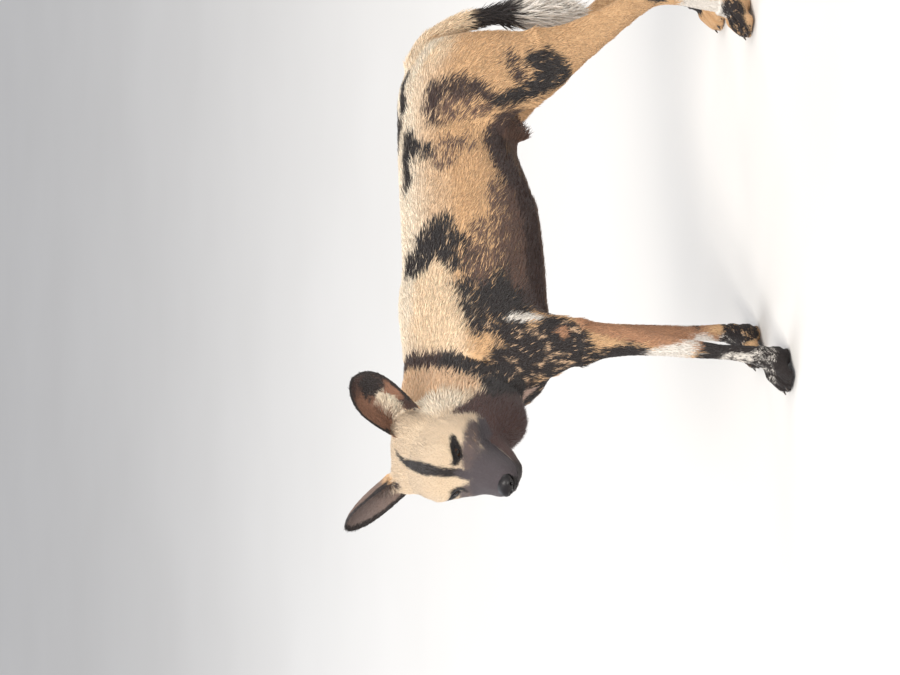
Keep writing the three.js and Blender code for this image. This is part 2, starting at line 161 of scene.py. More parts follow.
class Neighbours:  # the mean of what a vertex's neighbours hold
    def __init__(self, mesh):
        self.edges = edgesOf(mesh)
        self.count = len(mesh.vertices)
        self.valence = np.maximum(np.bincount(self.edges.ravel(), minlength=self.count), 1)

    def mean(self, values):
        a, b = self.edges.T
        flat = values.reshape(self.count, -1)
        total = [
            np.bincount(a, column[b], self.count) + np.bincount(b, column[a], self.count)
            for column in flat.T
        ]
        return (np.stack(total, 1) / self.valence[:, None]).reshape(values.shape)

    def spread(self, values, times):
        for step in range(times):
            values = 0.5 * values + 0.5 * self.mean(values)
        return values

    def evened(self, places, times, strength):  # smooths without shrinking
        for step in range(times):
            places = places + 0.5 * strength * (self.mean(places) - places)
            places = places - 0.53 * strength * (self.mean(places) - places)
        return places


# Places on the head

headPose = {"place": (0.087, -0.476, 0.644), "yaw": -46, "pitch": 27, "roll": 5}
headMatrix = (
    Matrix.Translation(headPose["place"])
    @ Matrix.Rotation(math.radians(headPose["yaw"]), 4, "Z")
    @ Matrix.Rotation(math.radians(headPose["pitch"]), 4, "Y")
    @ Matrix.Rotation(math.radians(headPose["roll"]), 4, "X")
)
headTurn = np.array(headMatrix.to_3x3())
headOrigin = np.array(headPose["place"])


def toHead(points):
    return (np.asarray(points, float) - headOrigin) @ headTurn / mm


def fromHead(points):
    return np.asarray(points, float) * mm @ headTurn.T + headOrigin


# Skin

skinForm = {
    "overlap": 0.0006,  # each part swells by this to meet the next one
    "meeting": 0.0009,  # parts no further apart than this meet
    "voxel": 0.0024,
    "kept": 0.31,  # share of the faces that stay
    "headLine": -0.33,
    "pawLine": 0.072,
    "evenings": 14,
}
fleshNames = [name for name in nodes if not name.startswith(("eye", "nose", "claw"))]
eyeball = {"place": (6, 36.5, 5), "radius": 11, "lid": 1.3, "gaze": (0.84, 0.53, 0.06)}
eyeSides = {"eye_left": 1, "eye_right": -1}


def eyePlace(side):
    x, y, z = eyeball["place"]
    return np.array((x, side * y, z))


def mergedCopy(name):
    piece = bpy.data.objects.new(name + "_copy", nodes[name].data.copy())
    bpy.context.scene.collection.objects.link(piece)
    piece.data.materials.clear()
    work = bmesh.new()
    work.from_mesh(piece.data)
    bmesh.ops.remove_doubles(work, verts=work.verts, dist=0.01 * mm)
    work.to_mesh(piece.data)
    work.free()
    return piece


def treeOf(piece):
    mesh = piece.data
    corners = [tuple(polygon.vertices) for polygon in mesh.polygons]
    return BVHTree.FromPolygons([vertex.co for vertex in mesh.vertices], corners)


def sharpenCuts(piece, others):  # the rims where two parts meet stay where they are
    work = bmesh.new()
    work.from_mesh(piece.data)
    bmesh.ops.join_triangles(
        work, faces=work.faces, angle_face_threshold=0.7, angle_shape_threshold=0.7
    )
    crease = work.edges.layers.float.new("crease_edge")
    meeting = skinForm["meeting"]
    onCut = {v for v in work.verts if any(t.find_nearest(v.co, meeting)[0] for t in others)}
    for edge in work.edges:
        if edge.verts[0] in onCut and edge.verts[1] in onCut and edge.calc_face_angle(0) > 0.4:
            edge[crease] = 1
    work.to_mesh(piece.data)
    work.free()


def joinFlesh():
    copies = {name: mergedCopy(name) for name in fleshNames}
    trees = {name: treeOf(piece) for name, piece in copies.items()}
    for name, piece in copies.items():
        sharpenCuts(piece, [tree for other, tree in trees.items() if other != name])
        applyModifier(piece, "SUBSURF", levels=2, render_levels=2)
        applyModifier(piece, "DISPLACE", mid_level=0, strength=skinForm["overlap"])
    for name, side in eyeSides.items():
        bpy.ops.mesh.primitive_uv_sphere_add(
            segments=48,
            ring_count=32,
            radius=(eyeball["radius"] + eyeball["lid"]) * mm,
            location=fromHead(eyePlace(side)),
        )
        copies[name] = bpy.context.object
    deselectAll()
    for piece in copies.values():
        piece.select_set(True)
    whole = copies["trunk"]
    bpy.context.view_layer.objects.active = whole
    bpy.ops.object.join()
    whole.name = "skin"
    whole.data.remesh_voxel_size = skinForm["voxel"]
    bpy.ops.object.voxel_remesh()
    return whole


softening = {"reach": 30, "share": (0.015, 0.12), "times": 70}


def softenCuts(skin, parts):  # takes away the ridges where two parts met
    around = Neighbours(skin.data)
    places = placesOf(skin.data)
    a, b = around.edges.T
    kept = isPart(parts, "ear") | isPart(parts, "paw")
    cut = (parts[a] != parts[b]) & ~kept[a] & ~kept[b]
    onCut = np.zeros(len(places))
    onCut[a[cut]] = 1
    onCut[b[cut]] = 1
    share = smooth(*softening["share"], around.spread(onCut, softening["reach"]))
    moveTo(skin.data, mix(places, around.spread(places, softening["times"]), share[:, None]))


def thinOut(skin):  # the head and the paws keep all their detail
    places = placesOf(skin.data)
    plain = (places[:, 1] > skinForm["headLine"]) & (places[:, 2] > skinForm["pawLine"])
    group = skin.vertex_groups.new(name="plain")
    group.add(np.where(plain)[0].tolist(), 1, "REPLACE")
    applyModifier(
        skin, "DECIMATE", ratio=skinForm["kept"], vertex_group="plain", vertex_group_factor=1
    )
    applyModifier(skin, "TRIANGULATE")
    skin.vertex_groups.clear()


# Which named part lies nearest

def treeOfNodes(names):  # one tree for some nodes, and which of them each face belongs to
    places, faces, owners = [], [], []
    for number, name in enumerate(names):
        mesh = nodes[name].data
        start = len(places)
        places.extend(vertex.co for vertex in mesh.vertices)
        faces.extend([start + i for i in polygon.vertices] for polygon in mesh.polygons)
        owners.extend([number] * len(mesh.polygons))
    return BVHTree.FromPolygons(places, faces), owners


fleshTree, fleshOwners = treeOfNodes(fleshNames)


def nearestPart(points):
    return np.array([fleshOwners[fleshTree.find_nearest(p)[2]] for p in points.tolist()])


def isPart(parts, start):
    wanted = [i for i, name in enumerate(fleshNames) if name.startswith(start)]
    return np.isin(parts, wanted)


# The coat's depth under the tips, in millimetres, less what smoothing the parts has taken off

coatDepth = {
    "trunk": 2.8,
    "neck": 3.2,
    "head": 0.5,
    "ear": 1.5,
    "tail": 3.0,
    "leg": 0.9,
    "paw": 0.5,
}
cheeks = {"depth": 2.2, "from": (-10, -60)}  # deeper towards the back of the head
bareLids = (13, 20)  # millimetres from the middle of an eye
bareSoles = (0.002, 0.014)
plume = {"top": 0.53, "full": 0.46, "core": 0.4, "bottom": 0.36, "lift": 0.55, "levels": 24}


def depthOfCoat(mesh, places, parts):
    depth = np.zeros(len(places))
    for start, value in coatDepth.items():
        depth[isPart(parts, start)] = value
    own = toHead(places)
    depth += isPart(parts, "head") * cheeks["depth"] * smooth(*cheeks["from"], own[:, 0])
    depth = Neighbours(mesh).spread(depth, 10)
    for side in eyeSides.values():
        depth *= smooth(*bareLids, np.linalg.norm(own - eyePlace(side), axis=1))
    return depth * smooth(*bareSoles, places[:, 2])


def slimPlume(places, parts):  # only a thin core stays under the long hair of the tail's end
    height = places[:, 2]
    onTail = isPart(parts, "tail") & (height < plume["top"])
    levels = np.linspace(height[onTail].min(), plume["top"], plume["levels"])
    band = np.digitize(height[onTail], levels)
    used = np.unique(band)
    middle = np.array([places[onTail][band == b, :2].mean(0) for b in used])
    at = np.array([height[onTail][band == b].mean() for b in used])
    order = np.argsort(at)
    centre = np.stack([np.interp(height, at[order], middle[order, i]) for i in range(2)], 1)
    share = 1 - (1 - plume["core"]) * smooth(plume["top"], plume["full"], height)
    share = np.where(onTail, share, 1)[:, None]
    low = np.where(onTail, np.maximum(plume["bottom"] - height, 0), 0)
    places[:, :2] = centre * (1 - share) + places[:, :2] * share
    places[:, 2] += low * plume["lift"]
    return places


def sinkUnderCoat(skin):
    mesh = skin.data
    places = placesOf(mesh)
    parts = nearestPart(places)
    depth = depthOfCoat(mesh, places, parts)
    places = places - normalsOf(mesh) * depth[:, None] * mm
    moveTo(mesh, slimPlume(places, parts))


# Head sculpting

lidForm = {
    "inner": 12.5,
    "outer": 11.0,
    "upper": 4.0,
    "lower": 3.7,
    "tilt": 12,
    "margin": 0.45,
    "sunk": 9.3,
    "reach": 6,
    "fade": (-9, -4),
    "crease": 3.4,
    "creaseDepth": 0.8,
    "creaseWidth": 0.9,
    "rim": 0.35,
    "rimAway": 1.1,
    "rimWidth": 0.8,
}
mouthForm = {
    "line": [
        (101, 0, -58),
        (97, 12, -61),
        (88, 22, -64),
        (74, 28, -67),
        (52, 33, -69),
        (30, 38, -68),
        (12, 43, -63),
    ],
    "steps": 31,
    "width": 1.3,
    "depth": 2.6,
    "lip": 1.5,
    "lowerLip": 0.55,
    "lipAway": 3.4,
    "lipWidth": 2.0,
}
mouthLines = {}


def chosenVertices(mesh, chosen):
    mesh.vertices.foreach_set("select", chosen)
    mesh.edges.foreach_set("select", chosen[edgesOf(mesh)].all(1))
    faces = np.empty(len(mesh.polygons), bool)
    corners = trianglesOf(mesh)
    faces[:] = chosen[corners].all(1)
    mesh.polygons.foreach_set("select", faces)


def refine(skin, chooser):  # splits the triangles whose corners the chooser picks
    makeActive(skin)
    chosenVertices(skin.data, chooser(toHead(placesOf(skin.data))))
    bpy.ops.object.mode_set(mode="EDIT")
    bpy.ops.mesh.subdivide(number_cuts=1, ngon=False)
    bpy.ops.object.mode_set(mode="OBJECT")
    applyModifier(skin, "TRIANGULATE")


def reachOfLine(points, line):  # distance to a line of points, and how far along it
    line = np.asarray(line, float)
    if len(line) == 1:
        return np.linalg.norm(points - line[0], axis=1), np.zeros(len(points))
    best = np.full(len(points), 1e9)
    along = np.zeros(len(points))
    for i in range(len(line) - 1):
        a, b = line[i], line[i + 1]
        share = np.clip((points - a) @ (b - a) / ((b - a) @ (b - a)), 0, 1)
        distance = np.linalg.norm(points - a - share[:, None] * (b - a), axis=1)
        closer = distance < best
        best = np.where(closer, distance, best)
        along = np.where(closer, i + share, along)
    return best, along


def mirrored(line, side):
    return [(x, side * y, z) for x, y, z in line]


def eyeAxes(side):
    x, y, z = eyeball["gaze"]
    gaze = unit((x, side * y, z))
    outward = unit(np.cross((0, 0, 1), gaze)) * side
    upward = np.cross(gaze, outward) * side
    tilt = math.radians(lidForm["tilt"])
    outward, upward = (
        outward * math.cos(tilt) + upward * math.sin(tilt),
        upward * math.cos(tilt) - outward * math.sin(tilt),
    )
    return gaze, outward, upward


def lidOpening(points, side):  # millimetres inside the opening, and the height over its middle
    gaze, outward, upward = eyeAxes(side)
    away = points - eyePlace(side)
    ahead = away @ gaze
    radius = eyeball["radius"]
    across = np.arctan2(away @ outward, ahead) * radius
    height = np.arctan2(away @ upward, ahead) * radius
    reach = np.where(across > 0, lidForm["outer"], lidForm["inner"])
    bow = np.clip(1 - (across / reach) ** 2, 0, 1) ** 0.8
    beyond = np.maximum(np.abs(across) - reach, 0)
    inside = np.minimum(lidForm["upper"] * bow - height, height + lidForm["lower"] * bow) - beyond
    inside = np.where(ahead > 0, inside, -30)
    return inside, height, bow


def sculptLids(points):
    form = lidForm
    lid = eyeball["radius"] + eyeball["lid"]
    for side in eyeSides.values():
        away = points - eyePlace(side)
        distance = np.linalg.norm(away, axis=1)
        inside, height, bow = lidOpening(points, side)
        near = distance < eyeball["radius"] + form["reach"]
        ahead = away @ eyeAxes(side)[0] > 2
        over = height - form["upper"] * bow - form["crease"]
        under = -height - form["lower"] * bow - form["crease"]
        width = form["creaseWidth"]
        fold = np.exp(-((over / width) ** 2)) + 0.6 * np.exp(-((under / width) ** 2))
        rim = np.exp(-(((inside + form["rimAway"]) / form["rimWidth"]) ** 2))
        around = smooth(*form["fade"], inside)
        target = mix(distance, np.maximum(distance, lid), around)
        target = target - fold * form["creaseDepth"] * around * (bow > 0)
        share = smooth(-form["margin"], form["margin"], inside)
        target = mix(target + form["rim"] * rim, form["sunk"], share)
        moved = eyePlace(side) + away / np.maximum(distance, 1e-6)[:, None] * target[:, None]
        points = np.where((near & ahead)[:, None], moved, points)
    return points


def layMouth(skin):  # the mouth's line, laid onto the skin
    tree = treeOf(skin)
    line = np.array(mouthForm["line"], float)
    steps = np.linspace(0, len(line) - 1, mouthForm["steps"])
    dense = np.stack([np.interp(steps, range(len(line)), line[:, i]) for i in range(3)], 1)
    for side in (1, -1):
        places = fromHead(dense * (1, side, 1))
        mouthLines[side] = toHead([tree.find_nearest(p)[0] for p in places.tolist()])


def fromMouth(points):
    reach = [reachOfLine(points, line)[0] for line in mouthLines.values()]
    return np.minimum(*reach)


def sculptMouth(points, normals):
    form = mouthForm
    for side, line in mouthLines.items():
        distance, along = reachOfLine(points, line)
        end = smooth(len(line) - 1, len(line) - 5, along)
        groove = np.exp(-((distance / form["width"]) ** 2)) * form["depth"] * (0.4 + 0.6 * end)
        nearest = [np.interp(along, range(len(line)), line[:, i]) for i in range(3)]
        above = points[:, 2] > nearest[2]
        lip = np.exp(-(((distance - form["lipAway"]) / form["lipWidth"]) ** 2))
        lip = lip * np.where(above, 1, form["lowerLip"]) * form["lip"]
        own = points[:, 1] * side > -1
        points = points + normals * ((lip - groove) * own)[:, None]
    return points


creases = [  # soft folds of the face: a line, its width and how deep it goes; a ridge is under zero
    {"line": [(30, 0, 14), (6, 0, 38), (-30, 0, 58)], "width": 4.0, "depth": 1.2},
    {"line": [(100, 0, -54), (103, 0, -61)], "width": 1.3, "depth": 1.8},
    {"line": [(27, 24, 19), (10, 43, 25), (-12, 57, 22)], "width": 5.5, "depth": -3.2},
    {"line": [(30, 27, -3), (50, 22, -16), (74, 17, -24)], "width": 5.0, "depth": 1.3},
    {"line": [(16, 46, -16), (-14, 62, -14), (-44, 72, -6)], "width": 6.0, "depth": -2.2},
    {"line": [(20, 42, -24), (-6, 58, -36), (-30, 66, -50)], "width": 7.0, "depth": 1.8},
    {"line": [(80, 19, -44), (62, 24, -48)], "width": 9.0, "depth": -1.8},
    {"line": [(26, 42, -52), (0, 54, -62), (-20, 62, -66)], "width": 4.0, "depth": 1.1},
]
earForm = {
    "root": (-90, 66, 36),
    "axis": (-0.38, 0.68, 0.66),
    "face": (0.87, 0.45, 0.1),
    "length": 129,
}
earSides = {"ear_left": 1, "ear_right": -1}
earRidges = {"apart": 8.5, "height": 1.1, "slant": 10, "fade": (0.55, 0.2)}


def earFrame(side):  # the ear's root, and the ways to its tip, out of its cup and to its rear edge
    mirror = np.array((1, side, 1))
    axis = unit(mirror * earForm["axis"])
    face = unit(mirror * earForm["face"])
    rearward = np.cross(axis, face) * side
    return {"root": mirror * earForm["root"], "axis": axis, "face": face, "rearward": rearward}


def onEar(points, normals, side):  # the share of the way up, millimetres rearward, if in the cup
    ear = earFrame(side)
    own = toHead(points) - ear["root"]
    inner = smooth(-0.15, 0.25, (normals @ headTurn) @ ear["face"])
    return own @ ear["axis"] / earForm["length"], own @ ear["rearward"], inner


def sculptEars(skin, parts):
    mesh = skin.data
    places, normals = placesOf(mesh), normalsOf(mesh)
    for name, side in earSides.items():
        rise, across, inner = onEar(places, normals, side)
        turn = 2 * math.pi * (across + earRidges["slant"] * rise) / earRidges["apart"]
        ridge = 0.5 + 0.5 * np.cos(turn)
        push = ridge * earRidges["height"] * smooth(*earRidges["fade"], rise)
        push = push * inner * isPart(parts, name)
        places = places + normals * push[:, None] * mm
    moveTo(mesh, places)


# Paw sculpting, in millimetres. Across is from a foot's middle, ahead is towards its toes.

pawForm = {
    "feet": [(40, -261), (-110, -163), (42, 424), (-112, 506)],
    "toes": [(-21, 38), (-8, 52), (8, 52), (21, 38)],  # how far across each toe lies and reaches
    "halfWidth": 46,
    "top": (50, 36),
    "gaps": (-14.5, 0, 14.5),
    "gapWidth": 2.3,
    "gapDepth": 5.2,
    "gapStart": (6, 24),
    "spread": 0.08,
    "knuckle": 2.2,
    "knuckleAt": 0.62,
    "heel": 3.0,
}


def inFoot(places, foot):
    return places[:, 0] / mm - foot[0], foot[1] - places[:, 1] / mm, places[:, 2] / mm


def fillClefts(places, even):  # between the heel and the toes
    for foot in pawForm["feet"]:
        across, ahead, high = inFoot(places, foot)
        share = smooth(34, 24, high) * smooth(-34, -24, ahead) * smooth(34, 20, ahead)
        share = share * smooth(3, 9, high) * (np.abs(across) < pawForm["halfWidth"])
        places = mix(places, even, share[:, None])
    return places


def sculptToes(places, normals, foot):
    across, ahead, high = inFoot(places, foot)
    near = (np.abs(across) < pawForm["halfWidth"]) & (ahead > -40) & (ahead < 90)
    fan = across / (1 + pawForm["spread"] * smooth(0, 50, ahead))
    gap = sum(np.exp(-(((fan - out) / pawForm["gapWidth"]) ** 2)) for out in pawForm["gaps"])
    knuckle = sum(
        np.exp(-(((fan - out) / 6) ** 2) - ((ahead - pawForm["knuckleAt"] * reach) / 9) ** 2)
        for out, reach in pawForm["toes"]
    )
    push = knuckle * pawForm["knuckle"] * smooth(10, 20, high)
    push = push - gap * pawForm["gapDepth"] * smooth(*pawForm["gapStart"], ahead)
    push = push - pawForm["heel"] * smooth(-6, -20, ahead) * smooth(2, 10, high)
    push = push * smooth(*pawForm["top"], high) * near
    return places + normals * push[:, None] * mm


def sculptPaws(skin):
    mesh = skin.data
    places = placesOf(mesh)
    places = fillClefts(places, Neighbours(mesh).spread(places, 60))
    moveTo(mesh, places)
    normals = normalsOf(mesh)
    for foot in pawForm["feet"]:
        places = sculptToes(places, normals, foot)
    moveTo(mesh, places)


def sculptHead(skin):
    mesh = skin.data
    points = toHead(placesOf(mesh))
    normals = normalsOf(mesh) @ headTurn
    for crease in creases:
        for side in (1, -1) if crease["line"][1][1] else (1,):
            distance = reachOfLine(points, mirrored(crease["line"], side))[0]
            push = np.exp(-((distance / crease["width"]) ** 2)) * crease["depth"]
            points = points - normals * push[:, None]
    points = sculptMouth(points, normals)
    points = sculptLids(points)
    moveTo(mesh, fromHead(points))


# Where the head's skin is split finer

fineReach = {"eyes": 21, "lids": 3.2, "mouth": 6}


def nearEyes(points):
    left, right = (
        np.linalg.norm(points - eyePlace(side), axis=1) < fineReach["eyes"]
        for side in eyeSides.values()
    )
    return left | right


def nearLids(points):
    left, right = (
        np.abs(lidOpening(points, side)[0]) < fineReach["lids"] for side in eyeSides.values()
    )
    return (left | right) & nearEyes(points)


def nearMouth(points):
    return fromMouth(points) < fineReach["mouth"]


def refineHead(skin):
    for chooser in (nearEyes, nearMouth, nearLids, nearMouth):
        refine(skin, chooser)


# Markings

tones = {  # as the eye sees them, 0 to 255
    "tan": (226, 184, 138),
    "light": (248, 220, 186),
    "peach": (238, 200, 162),
    "cream": (226, 203, 174),
    "pale": (246, 228, 204),
    "orange": (190, 142, 108),
    "earTan": (148, 108, 86),
    "brown": (112, 86, 74),
    "umber": (74, 56, 51),
    "maroon": (84, 60, 56),
    "black": (46, 39, 38),
    "grey": (80, 72, 75),
    "dusk": (102, 87, 84),
    "greyBrown": (132, 112, 102),
    "earGrey": (128, 112, 106),
    "white": (240, 232, 222),
    "skin": (32, 27, 27),
    "pink": (214, 184, 168),
}


def linear(tone):
    value = np.array(tones[tone]) / 255
    return np.where(value < 0.04045, value / 12.92, ((value + 0.055) / 1.055) ** 2.4)


bodyNames = [name for name in fleshNames if not name.startswith(("head", "ear", "tail"))]
bodyTree = treeOfNodes(bodyNames)[0]
legNames = ("front_left", "front_right", "hind_left", "hind_right")
legPlaces = {
    leg: np.concatenate([placesOf(nodes[part + leg].data) for part in ("leg_", "paw_")])
    for leg in legNames
}


def onSide(side, y, z):  # the body seen from one side, or near its ridge when that is missed
    y, z = y * mm, z * mm
    hit = bodyTree.ray_cast(Vector((0.4 * side, y, z)), Vector((-side, 0, 0)))[0]
    if hit is None:
        hit = bodyTree.find_nearest(Vector((-0.035 + 0.02 * side, y, z)))[0]
    return np.array(hit)


def onLeg(leg, angle, z):  # angle 0 is the front, 90 the outer side, 180 the rear
    z = z * mm
    near = legPlaces[leg]
    band = near[np.argsort(np.abs(near[:, 2] - z))[:24]]
    centre = (band[:, :2].min(0) + band[:, :2].max(0)) / 2
    out = 1 if leg.endswith("left") else -1
    turn = math.radians(angle)
    away = np.array((out * math.sin(turn), -math.cos(turn)))
    radius = (np.ptp(band[:, 0]) * abs(away[0]) + np.ptp(band[:, 1]) * abs(away[1])) / 2
    return np.array((*(centre + away * radius * 0.9), z))


def mark(tone, ragged, balls, soft=None, dots=0, single=False):
    if soft is None:
        soft = 1.5 + 0.12 * ragged
    return {
        "tone": tone,
        "balls": balls,
        "radii": np.array([ball[-1] for ball in balls]) * mm,
        "ragged": ragged * mm,
        "soft": soft * mm,
        "dots": dots,
        "single": single,
    }


# A mark has a tone, how ragged its edge is, and a row of balls, all in millimetres. Its edge can be
# softer, and dots say how much of it is broken up. On the body a ball has y, z and radius.
leftMarks = [
    # painted highlight: the soft light patches on the shoulder and rump and the pale strip along the
    # top of the back
    mark("light", 14, [(-236, 640, 50), (-180, 640, 60), (-110, 650, 40)], soft=20),
    mark("light", 14, [(330, 612, 44)], soft=20),
    mark("pale", 10, [(-160, 690, 26), (60, 690, 34), (260, 690, 34)], soft=8),
    mark("peach", 8, [(-300, 650, 34), (-310, 600, 30)], soft=8),
    mark("umber", 5, [(-254, 700, 15), (-264, 664, 18), (-272, 630, 20)], soft=3),
    mark("black", 6, [(-272, 630, 18), (-284, 594, 24), (-300, 562, 32)]),
    mark("black", 7, [(57, -295, 557, 28), (52, -309, 532, 30), (45, -318, 508, 24)]),
    mark("black", 10, [(-73, 682, 24), (-76, 660, 24), (-48, 645, 25)], dots=0.14),
    mark("black", 12, [(-48, 645, 25), (-22, 626, 23), (-8, 611, 15)], dots=0.14),
    mark("black", 13, [(-50, 626, 22), (-90, 601, 15)], dots=0.2),
    mark("black", 13, [(-45, 606, 17), (-26, 600, 9)], dots=0.2),
    mark("black", 14, [(-206, 577, 22), (-174, 588, 19), (-134, 597, 14)], dots=0.16),
    mark("black", 16, [(-190, 549, 32), (-128, 562, 28), (-86, 566, 22)], dots=0.24),
    mark("black", 16, [(-86, 570, 24), (-50, 576, 16), (-30, 596, 10)], dots=0.3),
    mark("brown", 18, [(-100, 552, 34), (-50, 556, 24), (-20, 548, 14)], dots=0.32),
    mark("black", 14, [(-204, 520, 38), (-150, 512, 44), (-112, 488, 42)], dots=0.08),
    mark("umber", 14, [(-160, 448, 40), (-60, 446, 36), (30, 450, 36), (88, 478, 28)]),
    mark("brown", 12, [(-110, 486, 24), (-40, 482, 22), (40, 488, 20)], dots=0.14),
    mark("umber", 14, [(88, 482, 28), (146, 500, 26), (190, 480, 30)], dots=0.08),
    mark("brown", 16, [(-69, 514, 26), (-13, 514, 22), (50, 520, 16)], dots=0.3),
    mark("black", 9, [(84, 664, 22), (112, 666, 28), (145, 660, 27), (168, 656, 14)]),
    mark("black", 9, [(142, 648, 16), (129, 626, 12)], dots=0.1),
    mark("black", 4, [(165, 664, 6), (238, 661, 7)]),
    mark("brown", 14, [(112, 606, 24), (140, 590, 24), (140, 560, 16)], dots=0.42),
    mark("black", 8, [(232, 662, 17), (264, 658, 20), (290, 652, 14)]),
    # painted highlight along the ridge of the croup
    mark("pale", 7, [(258, 650, 10), (300, 632, 14), (352, 598, 12)]),
    mark("maroon", 4, [(-14, 392, 572, 13)]),
    mark("brown", 14, [(206, 590, 28), (218, 560, 30), (206, 530, 22)], dots=0.35),
    mark("umber", 13, [(190, 614, 11), (216, 619, 15), (240, 606, 19)], dots=0.2),
    mark("umber", 13, [(240, 606, 17), (250, 574, 19), (238, 540, 17)], dots=0.2),
    mark("umber", 13, [(238, 540, 17), (218, 514, 16), (216, 490, 16)], dots=0.2),
    mark("black", 12, [(218, 500, 15), (230, 458, 19), (247, 430, 22)], dots=0.12),
    mark("black", 12, [(247, 430, 22), (266, 408, 26), (268, 384, 28)], dots=0.12),
    mark("black", 12, [(268, 384, 28), (292, 404, 25), (290, 438, 18)], dots=0.12),
    mark("umber", 12, [(262, 466, 14), (298, 480, 12)], dots=0.24),
    mark("black", 12, [(-282, 520, 46), (-262, 470, 50), (-256, 415, 40)]),
    mark("black", 5, [(8, -334, 516, 24), (12, -322, 490, 26), (0, -298, 456, 26), (4, -280, 420, 22)]),
    mark("pink", 3, [(14, -333, 506, 9), (20, -320, 484, 10), (14, -308, 466, 4)], soft=2),
    mark("white", 4, [(-193, 520, 7), (-192, 490, 9), (-192, 462, 8)]),
    mark("brown", 8, [(172, 464, 26), (198, 430, 32)]),
]
rightMarks = [
    # painted highlight: the soft light patches on the shoulder and rump and the pale strip along the
    # top of the back
    mark("light", 14, [(-200, 640, 50), (-120, 650, 40), (300, 600, 44)], soft=20),
    mark("pale", 10, [(-160, 690, 26), (20, 690, 30), (180, 690, 30)], soft=8),
    mark("umber", 8, [(-262, 690, 17), (-270, 660, 18), (-250, 620, 24)], soft=3),
    mark("black", 17, [(-262, 600, 26), (-276, 560, 40), (-262, 505, 42)]),
    mark("black", 17, [(-262, 505, 42), (-226, 470, 40), (-214, 420, 26)], dots=0.12),
    mark("black", 18, [(-156, 646, 24), (-120, 620, 30), (-92, 580, 22)], dots=0.12),
    mark("black", 18, [(-120, 610, 22), (-60, 616, 16), (-30, 640, 12)], dots=0.2),
    mark("white", 12, [(-176, 560, 15), (-146, 530, 13)]),
    mark("umber", 16, [(-150, 460, 44), (-40, 450, 40), (60, 456, 40)], dots=0.06),
    mark("umber", 16, [(60, 456, 40), (150, 488, 34)], dots=0.06),
    mark("brown", 17, [(-110, 520, 26), (-20, 516, 24), (90, 524, 22)], dots=0.26),
    mark("black", 18, [(16, 652, 18), (48, 616, 26), (96, 590, 22)], dots=0.14),
    mark("black", 18, [(60, 610, 20), (40, 570, 18), (64, 548, 12)], dots=0.2),
    mark("black", 14, [(170, 672, 16), (196, 660, 20), (236, 644, 18), (250, 626, 12)]),
    mark("black", 17, [(256, 596, 26), (290, 556, 28), (290, 514, 20)], dots=0.2),
    mark("black", 17, [(290, 556, 20), (326, 530, 16), (320, 480, 16)], dots=0.24),
    mark("white", 9, [(360, 560, 14), (370, 520, 12)]),
    mark("black", 15, [(300, 440, 20), (330, 420, 28), (372, 386, 24)], dots=0.16),
    mark("white", 6, [(-190, 430, 12)]),
    mark("brown", 8, [(172, 464, 26), (198, 430, 32)]),
]
# On a leg a ball has the angle round the leg, z and radius. Angle 0 is the front and 90 the outer side.
legMarks = {
    "front_left": [
        mark("orange", 6, [(150, 370, 30), (150, 300, 26), (140, 200, 24), (130, 120, 14)]),
        mark("black", 8, [(60, 450, 44), (110, 430, 44), (90, 396, 22)]),
        mark("orange", 5, [(80, -222, 424, 11)]),
        mark("black", 7, [(0, 430, 34), (8, 360, 25), (0, 300, 20), (-30, 262, 15)]),
        mark("white", 4, [(10, 254, 13), (20, 220, 16), (10, 186, 15), (10, 172, 10)]),
        mark("black", 6, [(30, 150, 22), (80, 130, 22), (180, 110, 24), (180, 70, 28)]),
        mark("black", 6, [(0, 160, 16), (0, 110, 24), (0, 70, 34), (90, 70, 30)]),
        mark("white", 4, [(10, 116, 15), (20, 84, 16), (40, 60, 18)], dots=0.34),
        mark("black", 5, [(0, 44, 34), (0, 25, 46), (180, 30, 40)]),
        mark("white", 4, [(60, 52, 26), (0, 44, 40)], dots=0.62),
    ],
    "front_right": [
        mark("orange", 6, [(180, 400, 60), (90, 300, 40), (90, 200, 40), (90, 90, 30)]),
        mark("black", 6, [(180, 240, 14), (160, 200, 12)]),
        mark("white", 5, [(150, 170, 15), (180, 140, 10)]),
        mark("black", 6, [(0, 330, 20), (30, 260, 22)]),
        mark("black", 6, [(180, 120, 16), (90, 96, 14)]),
        mark("white", 5, [(0, 110, 20), (90, 80, 14), (0, 50, 24)]),
        mark("black", 5, [(0, 25, 34), (90, 30, 34), (180, 40, 40)], dots=0.15),
    ],
    "hind_left": [
        mark("tan", 6, [(90, 300, 60), (90, 200, 50), (90, 90, 40), (0, 30, 50)]),
        mark("black", 5, [(120, 205, 14), (60, 170, 12)]),
        mark("black", 5, [(60, 118, 16), (30, 90, 12)], dots=0.15),
        mark("white", 5, [(-20, 140, 16), (0, 60, 22)]),
        mark("black", 5, [(0, 28, 26), (80, 40, 20)], dots=0.15),
    ],
    "hind_right": [
        mark("tan", 6, [(90, 300, 60), (90, 200, 50), (90, 90, 40), (0, 30, 50)]),
        mark("black", 6, [(90, 250, 26), (60, 200, 18)]),
        mark("white", 5, [(90, 140, 22), (0, 100, 18)]),
        mark("black", 5, [(30, 60, 24), (180, 40, 26)]),
    ],
}
